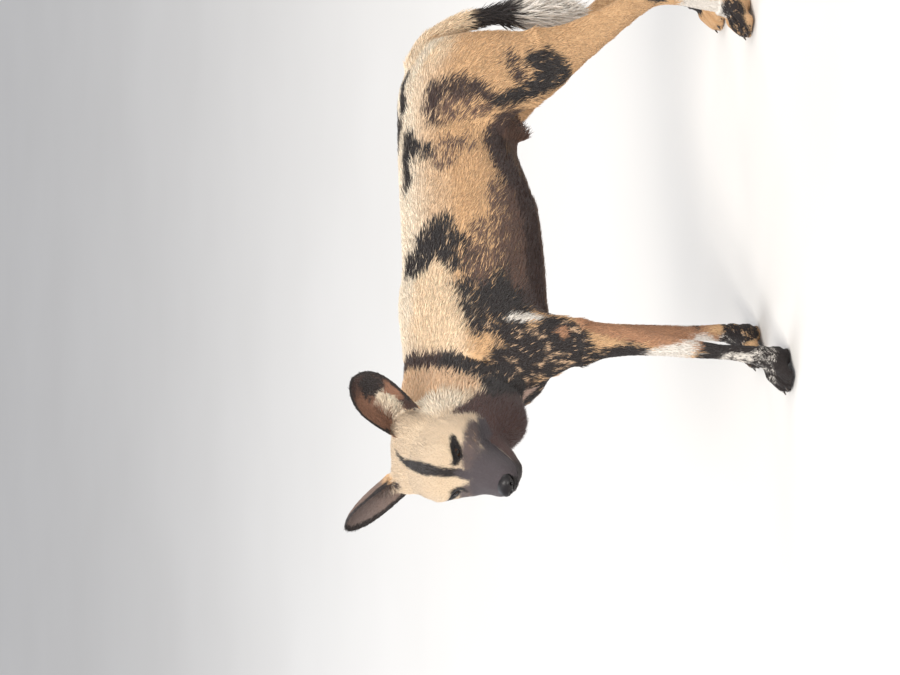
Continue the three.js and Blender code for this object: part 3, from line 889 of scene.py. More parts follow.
# On the head a ball has x, y, z and radius in the head's own axes. A single mark is on one side.
headMarks = [
    mark("pale", 5, [(-84, 84, -20, 30), (-74, 80, -50, 20)], soft=6),
    mark("dusk", 5, [(38, 26, -8, 17), (22, 42, -18, 18), (4, 54, -34, 16)], soft=4),
    mark("dusk", 5, [(4, 54, -36, 17), (-14, 60, -56, 12)], soft=4),
    mark("tan", 6, [(34, 30, -16, 10), (4, 54, -30, 14)], soft=2, dots=0.66),
    mark("grey", 4, [(98, 0, -34, 34), (64, 8, -30, 38), (44, 14, -36, 34)], soft=6),
    mark("grey", 4, [(90, 10, -54, 22), (64, 24, -58, 26), (30, 36, -62, 27)], soft=4),
    mark("grey", 4, [(30, 36, -60, 26), (6, 46, -72, 22), (-16, 56, -80, 15)], soft=4),
    mark("maroon", 4, [(-44, 77, -36, 4), (-49, 73, -60, 9), (-46, 72, -90, 18)]),
    mark("maroon", 4, [(-46, 72, -90, 20), (-36, 64, -118, 26), (-40, 40, -140, 50)]),
    mark("black", 5, [(-66, 83, -131, 22), (-77, 76, -176, 30), (-95, 91, -155, 26)]),
    mark("black", 2, [(-88, 12, 57, 2), (-72, 7, 60, 4), (-54, 5, 61, 7)], single=True),
    mark("black", 2, [(-54, 5, 61, 7), (-40, 7, 59, 10)], single=True),
    mark("black", 2, [(-40, 7, 59, 10), (-25, 9, 57, 12), (-5, 12, 50, 12)], single=True),
    mark("black", 2, [(-5, 12, 50, 12), (6, 13, 44, 10), (28, 10, 16, 8)], single=True),
    mark("grey", 3, [(30, 9, 12, 9), (40, 5, 2, 10)], single=True),
    mark("skin", 1.5, [(21, 29, 15, 8), (13, 38, 9, 12.5), (5, 47, 6, 12), (-3, 58, 2, 7)]),
    # painted shade under the far eye, on the side turned from the light
    mark("skin", 2, [(28, -26, 8, 8), (32, -28, -2, 6)], single=True),
    mark("skin", 2, [(101, 0, -42, 18)], single=True),
    mark("umber", 4, [(-76, -52, 60, 7), (-84, -60, 54, 6)], single=True),
]
# How low the light hair reaches on the jaw, in the head's own axes: x, then z.
jawEdge = {
    "x": (-48, -24, 1, 12, 30, 52, 74, 88, 101),
    "z": (-74, -87, -82, -67, -70, -71, -69, -66, -61),
}
jawForm = {
    "edge": (-1, 3),
    "start": (-52, -40),
    "black": (50, 84),
    "lips": (2.4, 1.0),
    # the last four place a painted highlight: a thin pale line along the lower lip
    "lipHighlightLine": 3.6,
    "lipHighlightWidth": (2.0, 0.9),
    "lipHighlightFrom": (24, 34),
    "lipHighlightTo": (80, 66),
}


def placed(own, where, finder):  # a ball of four numbers says where it is by itself
    line = [
        np.array(ball[:3]) * mm if len(ball) == 4 else finder(where, ball[0], ball[1])
        for ball in own["balls"]
    ]
    return {**own, "line": np.array(line)}


def allMarks():
    marks = [placed(own, 1, onSide) for own in leftMarks]
    marks += [placed(own, -1, onSide) for own in rightMarks]
    for leg, ownMarks in legMarks.items():
        marks += [placed(own, leg, onLeg) for own in ownMarks]
    for own in headMarks:
        for side in (1,) if own["single"] else (1, -1):
            line = fromHead([(x, side * y, z) for x, y, z, radius in own["balls"]])
            marks.append({**own, "line": line})
    return marks


def hairNoise(points, lie):  # uneven along the hair
    streaked = points - 0.75 * lie * (points * lie).sum(1, keepdims=True)
    noise = {
        "coarse": blotches(streaked, 0.016, 3),
        "fine": blotches(streaked, 0.005, 4),
        "dots": blotches(points, 0.0068, 5),
    }
    noise["broken"] = 0.5 * noise["dots"] + 0.8 * noise["fine"]
    return noise


def groundTone(points, normals, parts):  # the coat's tones before any mark, with a painted highlight on the trunk's upper faces and painted shade under it
    trunk, neck, head = (isPart(parts, start) for start in ("trunk", "neck", "head"))
    up = normals[:, 2]
    layers = [
        # painted highlight: the trunk is paler where it faces up
        ("pale", 0.9 * trunk * smooth(0.2, 0.95, up)),
        ("peach", 0.7 * neck),
        # painted shade: the trunk is darker where it faces down
        ("umber", 0.9 * trunk * smooth(-0.1, -0.75, up)),
        ("umber", neck * smooth(0, -0.5, up)),
        ("cream", head),
    ]
    colour = np.tile(linear("tan"), (len(points), 1))
    for tone, share in layers:
        colour = mix(colour, linear(tone), share[:, None])
    return colour


def addMark(colour, own, points, noise):
    line, radii, ragged, soft = (own[key] for key in ("line", "radii", "ragged", "soft"))
    reach = radii.max() + 2 * ragged + soft
    inBox = (points > line.min(0) - reach) & (points < line.max(0) + reach)
    near = np.where(inBox.all(1))[0]
    if not len(near):
        return
    distance, share = reachOfLine(points[near], line)
    radius = np.interp(share, range(len(radii)), radii)
    uneven = 0.8 * noise["coarse"][near] + 0.5 * noise["fine"][near]
    weight = smooth(soft, -soft, distance - radius + ragged * uneven)
    if own["dots"]:
        dots = own["dots"] * 2
        weight = weight * smooth(dots - 1.0, dots - 0.75, noise["broken"][near])
    colour[near] = mix(colour[near], linear(own["tone"]), weight[:, None])


def jawTones(points, parts, colour, fine):  # the dark jaw, the lips and a painted highlight along the edge of the lower lip
    head = isPart(parts, "head")
    own = toHead(points)
    x = own[:, 0]
    lower = np.interp(x, jawEdge["x"], jawEdge["z"]) - own[:, 2] + 2 * fine
    jaw = smooth(*jawForm["edge"], lower) * smooth(*jawForm["start"], x) * head
    tone = mix(linear("maroon"), linear("black"), smooth(*jawForm["black"], x)[:, None])
    colour = mix(colour, tone, jaw[:, None])
    reach = fromMouth(own)
    lips = smooth(*jawForm["lips"], reach) * head
    colour = mix(colour, linear("skin"), lips[:, None])
    # painted highlight: a thin pale line along the lower lip's edge
    line = smooth(*jawForm["lipHighlightWidth"], np.abs(reach - jawForm["lipHighlightLine"])) * (lower > 1)
    line = line * smooth(*jawForm["lipHighlightFrom"], x) * smooth(*jawForm["lipHighlightTo"], x) * head
    return mix(colour, linear("pale"), (0.8 * line)[:, None])


# An ear's cup is of one tone at its root and another at its tip. A spot has a tone, its middle and its
# size: the share of the way up, then millimetres rearward.
earCups = {
    "ear_left": {
        "tones": ("earTan", "umber"),
        "turn": (0.62, 0.85),
        "uneven": 0.08,
        "spots": [
            ("black", (0.62, 15), (0.2, 19)),
            ("pale", (0.2, 11), (0.27, 15)),
            ("umber", (0.0, 34), (0.2, 12)),
        ],
    },
    "ear_right": {
        "tones": ("greyBrown", "earGrey"),
        "turn": (0.2, 0.6),
        "uneven": 0.1,
        "spots": [
            ("umber", (0.06, -10), (0.1, 10)),
            ("cream", (0.02, 20), (0.16, 16)),
        ],
    },
}
earRim = {"width": 10, "wider": 3, "inFront": 1.5, "edge": 4}


def cupTone(cup, rise, across, noise):
    root, tip = (linear(tone) for tone in cup["tones"])
    colour = mix(root, tip, smooth(*cup["turn"], rise + cup["uneven"] * noise)[:, None])
    for tone, centre, size in cup["spots"]:
        reach = np.hypot((rise - centre[0]) / size[0], (across - centre[1]) / size[1])
        colour = mix(colour, linear(tone), smooth(1.25, 0.8, reach + 0.35 * noise)[:, None])
    return colour


def earTones(points, normals, parts, colour, rimReach):
    noise = blotches(points, 0.006, 8) + 0.5 * blotches(points, 0.0025, 12)
    for name, side in earSides.items():
        mine = isPart(parts, name)
        if not mine.any():
            continue
        rise, across, inner = onEar(points, normals, side)
        darker = 0.7 * smooth(0.2, 0.9, rise + 0.1 * noise)
        back = mix(linear("greyBrown"), linear("brown"), darker[:, None])
        tone = mix(back, cupTone(earCups[name], rise, across, noise), inner[:, None])
        root = smooth(0.2, 0.05, rise) * (1 - inner)
        tone = mix(tone, linear("tan"), root[:, None])
        wide = earRim["width"] + earRim["wider"] * smooth(0.5, 0.8, rise)
        wide = wide + earRim["inFront"] * smooth(0, -20, across)
        edge = smooth(wide, wide - earRim["edge"], rimReach / mm + 1.8 * noise)
        edge = edge * smooth(-0.02, 0.12, rise)
        tone = mix(tone, linear("black"), edge[:, None])
        colour = np.where(mine[:, None], tone, colour)
    return colour


tailBands = [("black", 526, 510), ("white", 452, 438)]  # from the root down, in millimetres


def tailTones(points, parts, colour):
    height = points[:, 2] / mm + 9 * blotches(points, 0.008, 9)
    tone = linear("light")
    for name, top, full in tailBands:
        tone = mix(tone, linear(name), smooth(top, full, height)[:, None])
    return np.where(isPart(parts, "tail")[:, None], tone, colour)


speckles = {"middle": 0.475, "reach": (0.14, 0.11), "front": (-0.17, -0.20), "share": (0.47, 0.6)}


def speckleForeleg(points, parts, colour, noise):  # light hairs in the near shoulder's dark patch
    x, y, z = points.T
    zone = smooth(*speckles["reach"], np.abs(z - speckles["middle"]))
    zone = zone * smooth(*speckles["front"], y)
    zone = zone * (x > -0.02) * ~isPart(parts, "head") * ~isPart(parts, "ear")
    light = smooth(*speckles["share"], noise["dots"] + 0.1 * noise["fine"]) * zone
    dark = linear("brown").sum() * 1.1 > colour.sum(1)
    return mix(colour, linear("peach"), (light * dark * 0.8)[:, None])


def coatColour(points, normals, parts, lie, rimReach, marks):
    noise = hairNoise(points, lie)
    colour = groundTone(points, normals, parts)
    for own in marks:
        addMark(colour, own, points, noise)
    colour = jawTones(points, parts, colour, noise["fine"])
    colour = speckleForeleg(points, parts, colour, noise)
    colour = earTones(points, normals, parts, colour, rimReach)
    return tailTones(points, parts, colour)


# Lie of the coat: the way each hair points, before it is laid onto the skin

ways = {
    "back": (0, 1, -0.1),
    "flank": (0, 1, -0.5),
    "down": (0, 0.15, -1),
    "haunch": (0, 0.55, -1),
    "toes": (0, -1, -0.55),
}
whorl = (104, 0, -34)  # the hair of the head runs back from here


def longEarHair(rise, across, inner):  # the fringe inside an ear
    fringe = inner * smooth(-0.12, 0.0, rise) * smooth(0.42, 0.25, rise)
    return fringe * smooth(-16, -6, across) * smooth(24, 12, across)


def trunkLie(points, normals):
    y, z, up = points[:, 1], points[:, 2], normals[:, 2]
    back, flank, down, haunch = (np.array(ways[key]) for key in ("back", "flank", "down", "haunch"))
    shoulder = 0.85 * (smooth(-0.13, -0.21, y) * smooth(0.62, 0.5, z))
    thigh = smooth(0.16, 0.26, y) * smooth(0.64, 0.5, z)
    lie = mix(flank, back, smooth(0.5, 0.9, up)[:, None])
    lie = mix(lie, back, smooth(-0.3, -0.8, up)[:, None])
    lie = mix(lie, down, shoulder[:, None])
    return mix(lie, haunch, thigh[:, None])


def neckLie(points, normals):
    ones = np.ones(len(points))
    fall = -0.45 - 0.5 * smooth(0.1, -0.7, normals[:, 2])
    return np.stack([-0.35 * ones, 0.85 * ones, fall], 1)


def headLie(points):
    own = toHead(points)
    away = unit(own - np.array(whorl))
    away[:, 2] -= 0.9 * smooth(-20, -70, own[:, 0]) * smooth(0, -40, own[:, 2])
    return away @ headTurn.T


def earLie(points, normals, side):
    ear = earFrame(side)
    swept = 1.3 * longEarHair(*onEar(points, normals, side))[:, None]
    return (ear["axis"] + swept * ear["rearward"]) @ headTurn.T


def tailLie(points):
    ones = np.ones(len(points))
    return np.stack([0 * ones, 0.2 + 0.7 * smooth(0.55, 0.6, points[:, 2]), -ones], 1)


def lieOfCoat(points, normals, parts):
    lie = trunkLie(points, normals)
    own = {
        "neck": neckLie(points, normals),
        "leg": np.array(ways["down"]),
        "paw": np.array(ways["toes"]),
        "head": headLie(points),
        "tail": tailLie(points),
    }
    for name, side in earSides.items():
        own[name] = earLie(points, normals, side)
    for start, way in own.items():
        lie = np.where(isPart(parts, start)[:, None], way, lie)
    return unit(lie)


def laid(lie, normals):
    return unit(lie - normals * (lie * normals).sum(1, keepdims=True))


# Coat, in millimetres: how long and wide a tuft is, how far apart the roots are, how steep it stands

coatForm = {
    "trunk": {"length": 18, "width": 1.6, "apart": 2.95, "lift": 11},
    "neck": {"length": 19, "width": 1.6, "apart": 2.8, "lift": 13},
    "head": {"length": 7, "width": 0.85, "apart": 1.5, "lift": 10},
    "ear": {"length": 6, "width": 0.8, "apart": 1.8, "lift": 9},
    "leg": {"length": 9.5, "width": 1.2, "apart": 2.5, "lift": 11},
    "paw": {"length": 5, "width": 0.8, "apart": 1.55, "lift": 9},
    "tail": {"length": 22, "width": 1.8, "apart": 2.9, "lift": 16},
}
coatRings = {"coat_face": 1, "coat_paws": 1, "coat_tail": 3}  # bends along a tuft, two elsewhere
lidCoat = {"length": 3.0, "width": 0.45, "apart": 1.05}
lidReach = (26, 14)


def coatZones(points, normals, parts):  # where the coat differs from its part's, and by how much
    x, y, z = toHead(points).T
    along, high = points[:, 1], points[:, 2]
    trunk, neck, head, leg, tail = (
        isPart(parts, start) for start in ("trunk", "neck", "head", "leg", "tail")
    )
    rear = head * smooth(-20, -80, x)
    jaw = head * smooth(-85, -115, z) * smooth(40, 0, x) * (1 - smooth(-20, -80, x))
    shoulder = (trunk | neck) * smooth(-0.17, -0.22, along) * smooth(0.6, 0.55, high)
    zones = [
        (head * smooth(20, 60, x), {"length": -2.6, "width": -0.25, "apart": -0.2}),
        (rear, {"length": 4, "width": 0.3, "apart": 0.5}),
        (rear * smooth(20, -30, z), {"length": 12, "width": 0.5, "apart": 0.4, "lift": 10}),
        (jaw, {"length": 7, "width": 0.4, "apart": 0.7, "lift": 14}),
        (tail * smooth(0.54, 0.44, high), {"length": 32, "width": 0.9, "lift": 10}),
        (leg * smooth(0.3, 0.4, high), {"length": 5, "width": 0.3}),
        (leg * smooth(0.18, 0.08, high), {"length": -3.5, "width": -0.3, "apart": -0.5}),
        (trunk * smooth(-0.2, -0.7, normals[:, 2]), {"length": 4}),
        (shoulder, {"length": -9, "width": -0.4, "apart": -0.55}),
    ]
    for name, side in earSides.items():
        fringe = longEarHair(*onEar(points, normals, side)) * isPart(parts, name)
        zones.append((fringe, {"length": 20, "width": 0.5, "lift": 26}))
    return zones


def coatFields(points, normals, parts, around):
    fields = {}
    for key in ("length", "width", "apart", "lift"):
        values = np.zeros(len(points))
        for start, form in coatForm.items():
            values[isPart(parts, start)] = form[key]
        fields[key] = values
    for share, changes in coatZones(points, normals, parts):
        for key, value in changes.items():
            fields[key] += share * value
    for key in fields:
        fields[key] = around.spread(fields[key], 6)
    for side in eyeSides.values():
        near = smooth(*lidReach, np.linalg.norm(toHead(points) - eyePlace(side), axis=1))
        for key, value in lidCoat.items():
            fields[key] = mix(fields[key], value, near)
    return fields


scattering = {"tries": 5, "cell": 1.22, "offset": 5000, "most": 20000}


def scatter(corners, places, apart):  # roots spread evenly over triangles, one in each small cell
    a, b, c = places[corners].transpose(1, 0, 2)
    area = np.linalg.norm(np.cross(b - a, c - a), axis=1) / 2
    gap = apart[corners].mean(1) * mm
    wanted = np.cumsum(area / gap**2)
    count = int(wanted[-1] * scattering["tries"])
    face = np.searchsorted(wanted, random.random(count) * wanted[-1])
    u, v = random.random((2, count))
    flip = u + v > 1
    u, v = np.where(flip, 1 - u, u), np.where(flip, 1 - v, v)
    shares = np.stack([1 - u - v, u, v], 1)
    roots = (places[corners[face]] * shares[:, :, None]).sum(1)
    level = np.round(2 * np.log2(gap[face] / mm))
    size = scattering["cell"] * mm * 2 ** (level / 2)
    cell = np.floor(roots / size[:, None]).astype(np.int64) + scattering["offset"]
    key = level.astype(np.int64)
    for axis in range(3):
        key = key * scattering["most"] + cell[:, axis]
    first = np.sort(np.unique(key, return_index=True)[1])
    return face[first], shares[first], roots[first]


def meshOf(name, places, loops, starts):
    mesh = bpy.data.meshes.new(name)
    mesh.vertices.add(len(places))
    mesh.vertices.foreach_set("co", places.astype(np.float32).ravel())
    mesh.loops.add(len(loops))
    mesh.loops.foreach_set("vertex_index", loops.astype(np.int32))
    mesh.polygons.add(len(starts))
    mesh.polygons.foreach_set("loop_start", starts.astype(np.int32))
    mesh.update(calc_edges=True)
    mesh.polygons.foreach_set("use_smooth", np.ones(len(starts), bool))
    piece = bpy.data.objects.new(name, mesh)
    bpy.context.scene.collection.objects.link(piece)
    return piece


def paint(mesh, colours):
    layer = mesh.color_attributes.new("coatColour", "FLOAT_COLOR", "POINT")
    rgba = np.ones((len(colours), 4), np.float32)
    rgba[:, :3] = colours
    layer.data.foreach_set("color", rgba.ravel())


patchSize = 0.003  # of the coat's own map
tuftForm = {"droop": 0.35, "sunk": 0.00012, "sunkShare": 0.033, "rootWidth": 0.5, "ridge": 0.7}
# painted shade within the fur: each tuft darkens towards its root and is lightest at its tip
tuftShade = {"root": 0.72, "gain": 0.36, "tip": 1.12, "most": 0.95}


def tuftPlaces(roots, rings):  # a bent spike with three sides, flat along the body
    n, t, w = roots["normal"], roots["lie"], roots["width"][:, None] * mm
    length = roots["length"][:, None] * mm
    lift = np.radians(roots["lift"])[:, None]
    side = np.cross(n, t)
    rows = []
    for ring in range(rings + 1):
        s = ring / rings
        rise = np.sin(lift) * (s - tuftForm["droop"] * s * s)
        spine = roots["place"] + length * (t * np.cos(lift) * s + n * rise)
        sunk = tuftForm["sunk"] + tuftForm["sunkShare"] * length
        spine = spine - n * sunk * (1 - s) + side * roots["bend"][:, None] * length * s * s
        spine = spine + roots["pull"] * s
        if ring == rings:
            rows.append(spine[:, None])
            break
        half = w * (tuftForm["rootWidth"] if ring == 0 else 0.62 * (1 - s) ** 0.55)
        ridge = n * half * tuftForm["ridge"]
        rows.append(np.stack([spine + side * half, spine - side * half, spine + ridge], 1))
    return np.concatenate(rows, 1)


def tuftFaces(rings):
    sides = ((0, 2), (2, 1), (1, 0))
    faces = [(0, 1, 2)]
    for base in range(0, 3 * (rings - 1), 3):
        faces += [(base + i, base + j, base + 3 + j, base + 3 + i) for i, j in sides]
    base = 3 * (rings - 1)
    return faces + [(base + i, base + j, 3 * rings) for i, j in sides]


def growTufts(name, roots, rings=2):
    places = tuftPlaces(roots, rings)
    count, each = places.shape[:2]
    faces = tuftFaces(rings)
    sizes = np.array([len(face) for face in faces])
    loops = (np.concatenate(faces)[None] + each * np.arange(count)[:, None]).ravel()
    starts = np.cumsum(np.tile(sizes, count)) - np.tile(sizes, count)
    piece = meshOf(name, places.reshape(-1, 3), loops, starts)
    # painted shade: the rings of a tuft are darker towards the root
    levels = [tuftShade["root"] + tuftShade["gain"] * ring / rings for ring in range(rings)]
    shade = np.append(np.repeat(levels, 3), tuftShade["tip"])
    colours = roots["colour"][:, None] * shade[None, :, None] * roots["tint"][:, None, None]
    paint(piece.data, np.clip(colours, 0, tuftShade["most"]).reshape(-1, 3))
    up = np.append(np.repeat([ring / rings for ring in range(rings)], 3), 1) - 0.5
    over = np.append(np.tile([-0.5, 0.5, 0.1], rings), 0)
    spot = np.stack([over, up], 1) * patchSize
    patches = roots["map"][:, None] * (1 - 2 * patchSize) + patchSize + spot[None]
    layer = piece.data.uv_layers.new(name="OFBake")
    layer.data.foreach_set("uv", patches.reshape(-1, 2)[loops].astype(np.float32).ravel())
    return piece


def coatPieceOf(points, parts):  # the name of the coat piece that covers each point
    names = np.full(len(points), "coat_shoulders", object)
    y, z = points[:, 1], points[:, 2]
    names[y > -0.13] = "coat_ribs"
    names[y > 0.03] = "coat_loins"
    names[y > 0.17] = "coat_haunches"
    names[(y > 0.17) & (z < 0.53)] = "coat_thighs"
    legs = isPart(parts, "leg")
    names[legs & (y < 0.05)] = "coat_forelegs"
    names[legs & (y >= 0.05)] = "coat_hindlegs"
    names[isPart(parts, "paw")] = "coat_paws"
    names[isPart(parts, "ear")] = "coat_ears"
    names[isPart(parts, "neck")] = "coat_neck"
    names[isPart(parts, "tail")] = "coat_tail"
    heads = isPart(parts, "head")
    behind = toHead(points)[:, 0] < -48
    names[heads & ~behind] = "coat_face"
    names[heads & behind] = "coat_cheeks"
    return names


def unwrapPieces(skin, faceNames):  # each coat piece has the whole map to itself
    makeActive(skin)
    mesh = skin.data
    mesh.uv_layers.new(name="unwrap")
    for name in sorted(set(faceNames)):
        mesh.vertices.foreach_set("select", np.zeros(len(mesh.vertices), bool))
        mesh.edges.foreach_set("select", np.zeros(len(mesh.edges), bool))
        mesh.polygons.foreach_set("select", faceNames == name)
        bpy.ops.object.mode_set(mode="EDIT")
        bpy.ops.mesh.select_mode(type="FACE")
        bpy.ops.uv.smart_project(angle_limit=math.radians(66), island_margin=0.006)
        bpy.ops.object.mode_set(mode="OBJECT")
    layer = mesh.uv_layers["unwrap"]
    flat = np.empty(len(mesh.loops) * 2, np.float32)
    layer.data.foreach_get("uv", flat)
    mesh.uv_layers.remove(layer)
    return flat.reshape(-1, 3, 2).astype(float)


def rimReachOf(skin, places, normals, parts):  # how far a point of an ear is from the ear's edge
    reach = np.full(len(places), 1.0)
    for name, side in earSides.items():
        ear = earFrame(side)
        cup = unit(ear["face"] - ear["axis"] * (ear["face"] @ ear["axis"]))
        facing = np.abs((normals @ headTurn) @ cup)
        rise = onEar(places, normals, side)[0]
        reach[isPart(parts, name) & (facing < 0.3) & (rise > 0)] = 0
    edges = edgesOf(skin.data)
    length = np.linalg.norm(places[edges[:, 0]] - places[edges[:, 1]], axis=1)
    for step in range(14):
        np.minimum.at(reach, edges[:, 0], reach[edges[:, 1]] + length)
        np.minimum.at(reach, edges[:, 1], reach[edges[:, 0]] + length)
    return reach


# Materials

furs = {
    "skinFur": {"amount": 0.22, "size": 420.0, "relief": 0.5, "roughness": 0.85, "sheen": 0.1},
    "coatFur": {"amount": 0.0, "size": 300.0, "relief": 0.0, "roughness": 0.78, "sheen": 0.15},
}
hides = {
    "noseLeather": {
        "dark": (0.005, 0.004, 0.0045),
        "light": (0.016, 0.013, 0.014),
        "scale": 900.0,
        "strength": 0.55,
        "roughness": 0.42,
    },
    "clawHorn": {
        "dark": (0.03, 0.024, 0.02),
        "light": (0.07, 0.055, 0.045),
        "scale": 300.0,
        "strength": 0.15,
        "roughness": 0.4,
    },
}


def fresh(name):
    material = bpy.data.materials.new(name)
    material.use_nodes = True
    tree = material.node_tree
    return material, tree, tree.nodes["Principled BSDF"]


def node(tree, kind, **values):
    made = tree.nodes.new(kind)
    for key, value in values.items():
        if key in made.inputs:
            made.inputs[key].default_value = value
        else:
            setattr(made, key, value)
    return made


def makeFurGroup():  # uneven tone and the fine relief of short flat hair
    group = bpy.data.node_groups.new("hairTone", "ShaderNodeTree")
    face = group.interface
    face.new_socket("Colour", in_out="INPUT", socket_type="NodeSocketColor")
    for name, value in (("Amount", 0.2), ("Size", 300.0), ("Relief", 0.3)):
        face.new_socket(name, in_out="INPUT", socket_type="NodeSocketFloat").default_value = value
    face.new_socket("Colour", in_out="OUTPUT", socket_type="NodeSocketColor")
    face.new_socket("Normal", in_out="OUTPUT", socket_type="NodeSocketVector")
    start = node(group, "NodeGroupInput")
    end = node(group, "NodeGroupOutput")
    place = node(group, "ShaderNodeAttribute", attribute_name="strand")
    noise = node(group, "ShaderNodeTexNoise", Detail=3.0, Roughness=0.6)
    shade = node(group, "ShaderNodeMapRange")
    shade.inputs["From Min"].default_value = 0.3
    shade.inputs["From Max"].default_value = 0.7
    low = node(group, "ShaderNodeMath", operation="SUBTRACT")
    low.inputs[0].default_value = 1.0
    high = node(group, "ShaderNodeMath", operation="ADD")
    high.inputs[0].default_value = 1.0
    scale = node(group, "ShaderNodeVectorMath", operation="SCALE")
    bump = node(group, "ShaderNodeBump", Distance=0.0012)
    link = group.links.new
    link(place.outputs["Vector"], noise.inputs["Vector"])
    link(start.outputs["Size"], noise.inputs["Scale"])
    link(noise.outputs["Fac"], shade.inputs["Value"])
    link(start.outputs["Amount"], low.inputs[1])
    link(start.outputs["Amount"], high.inputs[1])
    link(low.outputs[0], shade.inputs["To Min"])
    link(high.outputs[0], shade.inputs["To Max"])
    link(start.outputs["Colour"], scale.inputs[0])
    link(shade.outputs[0], scale.inputs["Scale"])
    link(scale.outputs[0], end.inputs["Colour"])
    link(noise.outputs["Fac"], bump.inputs["Height"])
    link(start.outputs["Relief"], bump.inputs["Strength"])
    link(bump.outputs["Normal"], end.inputs["Normal"])
    return group


def furMaterial(name, group, amount, size, relief, roughness, sheen):
    material, tree, shader = fresh(name)
    tone = node(tree, "ShaderNodeAttribute", attribute_name="coatColour")
    hair = node(tree, "ShaderNodeGroup", node_tree=group)
    hair.inputs["Amount"].default_value = amount
    hair.inputs["Size"].default_value = size
    hair.inputs["Relief"].default_value = relief
    tree.links.new(tone.outputs["Color"], hair.inputs["Colour"])
    tree.links.new(hair.outputs["Colour"], shader.inputs["Base Color"])
    tree.links.new(hair.outputs["Normal"], shader.inputs["Normal"])
    shader.inputs["Roughness"].default_value = roughness
    shader.inputs["Specular IOR Level"].default_value = 0.25
    shader.inputs["Sheen Weight"].default_value = sheen
    shader.inputs["Sheen Roughness"].default_value = 0.5
    return material


def pebbled(name, dark, light, scale, strength, roughness):  # nose leather, claw horn
    material, tree, shader = fresh(name)
    place = node(tree, "ShaderNodeTexCoord")
    cells = node(tree, "ShaderNodeTexVoronoi", Scale=scale)
    cells.feature = "DISTANCE_TO_EDGE"
    ramp = node(tree, "ShaderNodeValToRGB")
    ramp.color_ramp.elements[0].color = (*dark, 1)
    ramp.color_ramp.elements[1].color = (*light, 1)
    ramp.color_ramp.elements[1].position = 0.35
    grain = node(tree, "ShaderNodeTexNoise", Scale=scale * 0.4, Detail=4.0)
    rough = node(tree, "ShaderNodeMapRange")
    rough.inputs["To Min"].default_value = roughness - 0.1
    rough.inputs["To Max"].default_value = roughness + 0.12
    bump = node(tree, "ShaderNodeBump", Strength=strength, Distance=0.0005)
    link = tree.links.new
    link(place.outputs["Object"], cells.inputs["Vector"])
    link(place.outputs["Object"], grain.inputs["Vector"])
    link(cells.outputs["Distance"], ramp.inputs["Fac"])
    link(ramp.outputs["Color"], shader.inputs["Base Color"])
    link(grain.outputs["Fac"], rough.inputs["Value"])
    link(rough.outputs[0], shader.inputs["Roughness"])
    link(cells.outputs["Distance"], bump.inputs["Height"])
    link(bump.outputs["Normal"], shader.inputs["Normal"])
    shader.inputs["Coat Weight"].default_value = 0.1
    shader.inputs["Specular IOR Level"].default_value = 0.25
    return material


irisStops = [  # the share of the way from the pupil's middle to the eye's side, and the tone
    (0.0, (0.002, 0.002, 0.002)),
    (0.19, (0.002, 0.002, 0.002)),
    (0.22, (0.014, 0.006, 0.003)),
    (0.34, (0.042, 0.018, 0.007)),
    (0.46, (0.02, 0.009, 0.004)),
    (0.51, (0.006, 0.004, 0.003)),
    (0.57, (0.05, 0.034, 0.027)),
    (0.8, (0.09, 0.06, 0.05)),
]


def fillRamp(line, stops):
    for position, colour in stops[1:-1]:
        line.elements.new(position)
    for element, (position, colour) in zip(line.elements, stops):
        element.position, element.color = position, (*colour, 1)


def eyeMaterial():
    material, tree, shader = fresh("eye")
    reach = node(tree, "ShaderNodeAttribute", attribute_name="fromPupil")
    place = node(tree, "ShaderNodeTexCoord")
    noise = node(tree, "ShaderNodeTexNoise", Scale=900.0, Detail=3.0)
    add = node(tree, "ShaderNodeMath", operation="MULTIPLY_ADD")
    add.inputs[1].default_value = 0.05
    ramp = node(tree, "ShaderNodeValToRGB")
    fillRamp(ramp.color_ramp, irisStops)
    link = tree.links.new
    link(place.outputs["Object"], noise.inputs["Vector"])
    link(noise.outputs["Fac"], add.inputs[0])
    link(reach.outputs["Fac"], add.inputs[2])
    link(add.outputs[0], ramp.inputs["Fac"])
    link(ramp.outputs["Color"], shader.inputs["Base Color"])
    shader.inputs["Roughness"].default_value = 0.2
    shader.inputs["Specular IOR Level"].default_value = 0.2
    shader.inputs["Coat Weight"].default_value = 0.3
    shader.inputs["Coat Roughness"].default_value = 0.03
    return material


def floorMaterial():
    material, tree, shader = fresh("floor")
    place = node(tree, "ShaderNodeTexCoord")
    noise = node(tree, "ShaderNodeTexNoise", Scale=1.5, Detail=2.0)
    ramp = node(tree, "ShaderNodeValToRGB")
    ramp.color_ramp.elements[0].color = (0.62, 0.60, 0.57, 1)
    ramp.color_ramp.elements[1].color = (0.68, 0.66, 0.63, 1)
    tree.links.new(place.outputs["Object"], noise.inputs["Vector"])
    tree.links.new(noise.outputs["Fac"], ramp.inputs["Fac"])
    tree.links.new(ramp.outputs["Color"], shader.inputs["Base Color"])
    shader.inputs["Roughness"].default_value = 0.9
    return material


# Eyes, nose and claws

def finishPiece(piece, material, nodeName):
    piece.data.polygons.foreach_set("use_smooth", np.ones(len(piece.data.polygons), bool))
    piece.data.materials.append(material)
    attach(piece, "root")
    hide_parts(nodeName)


cornea = {"height": 0.07, "reach": (0.62, 0.1)}


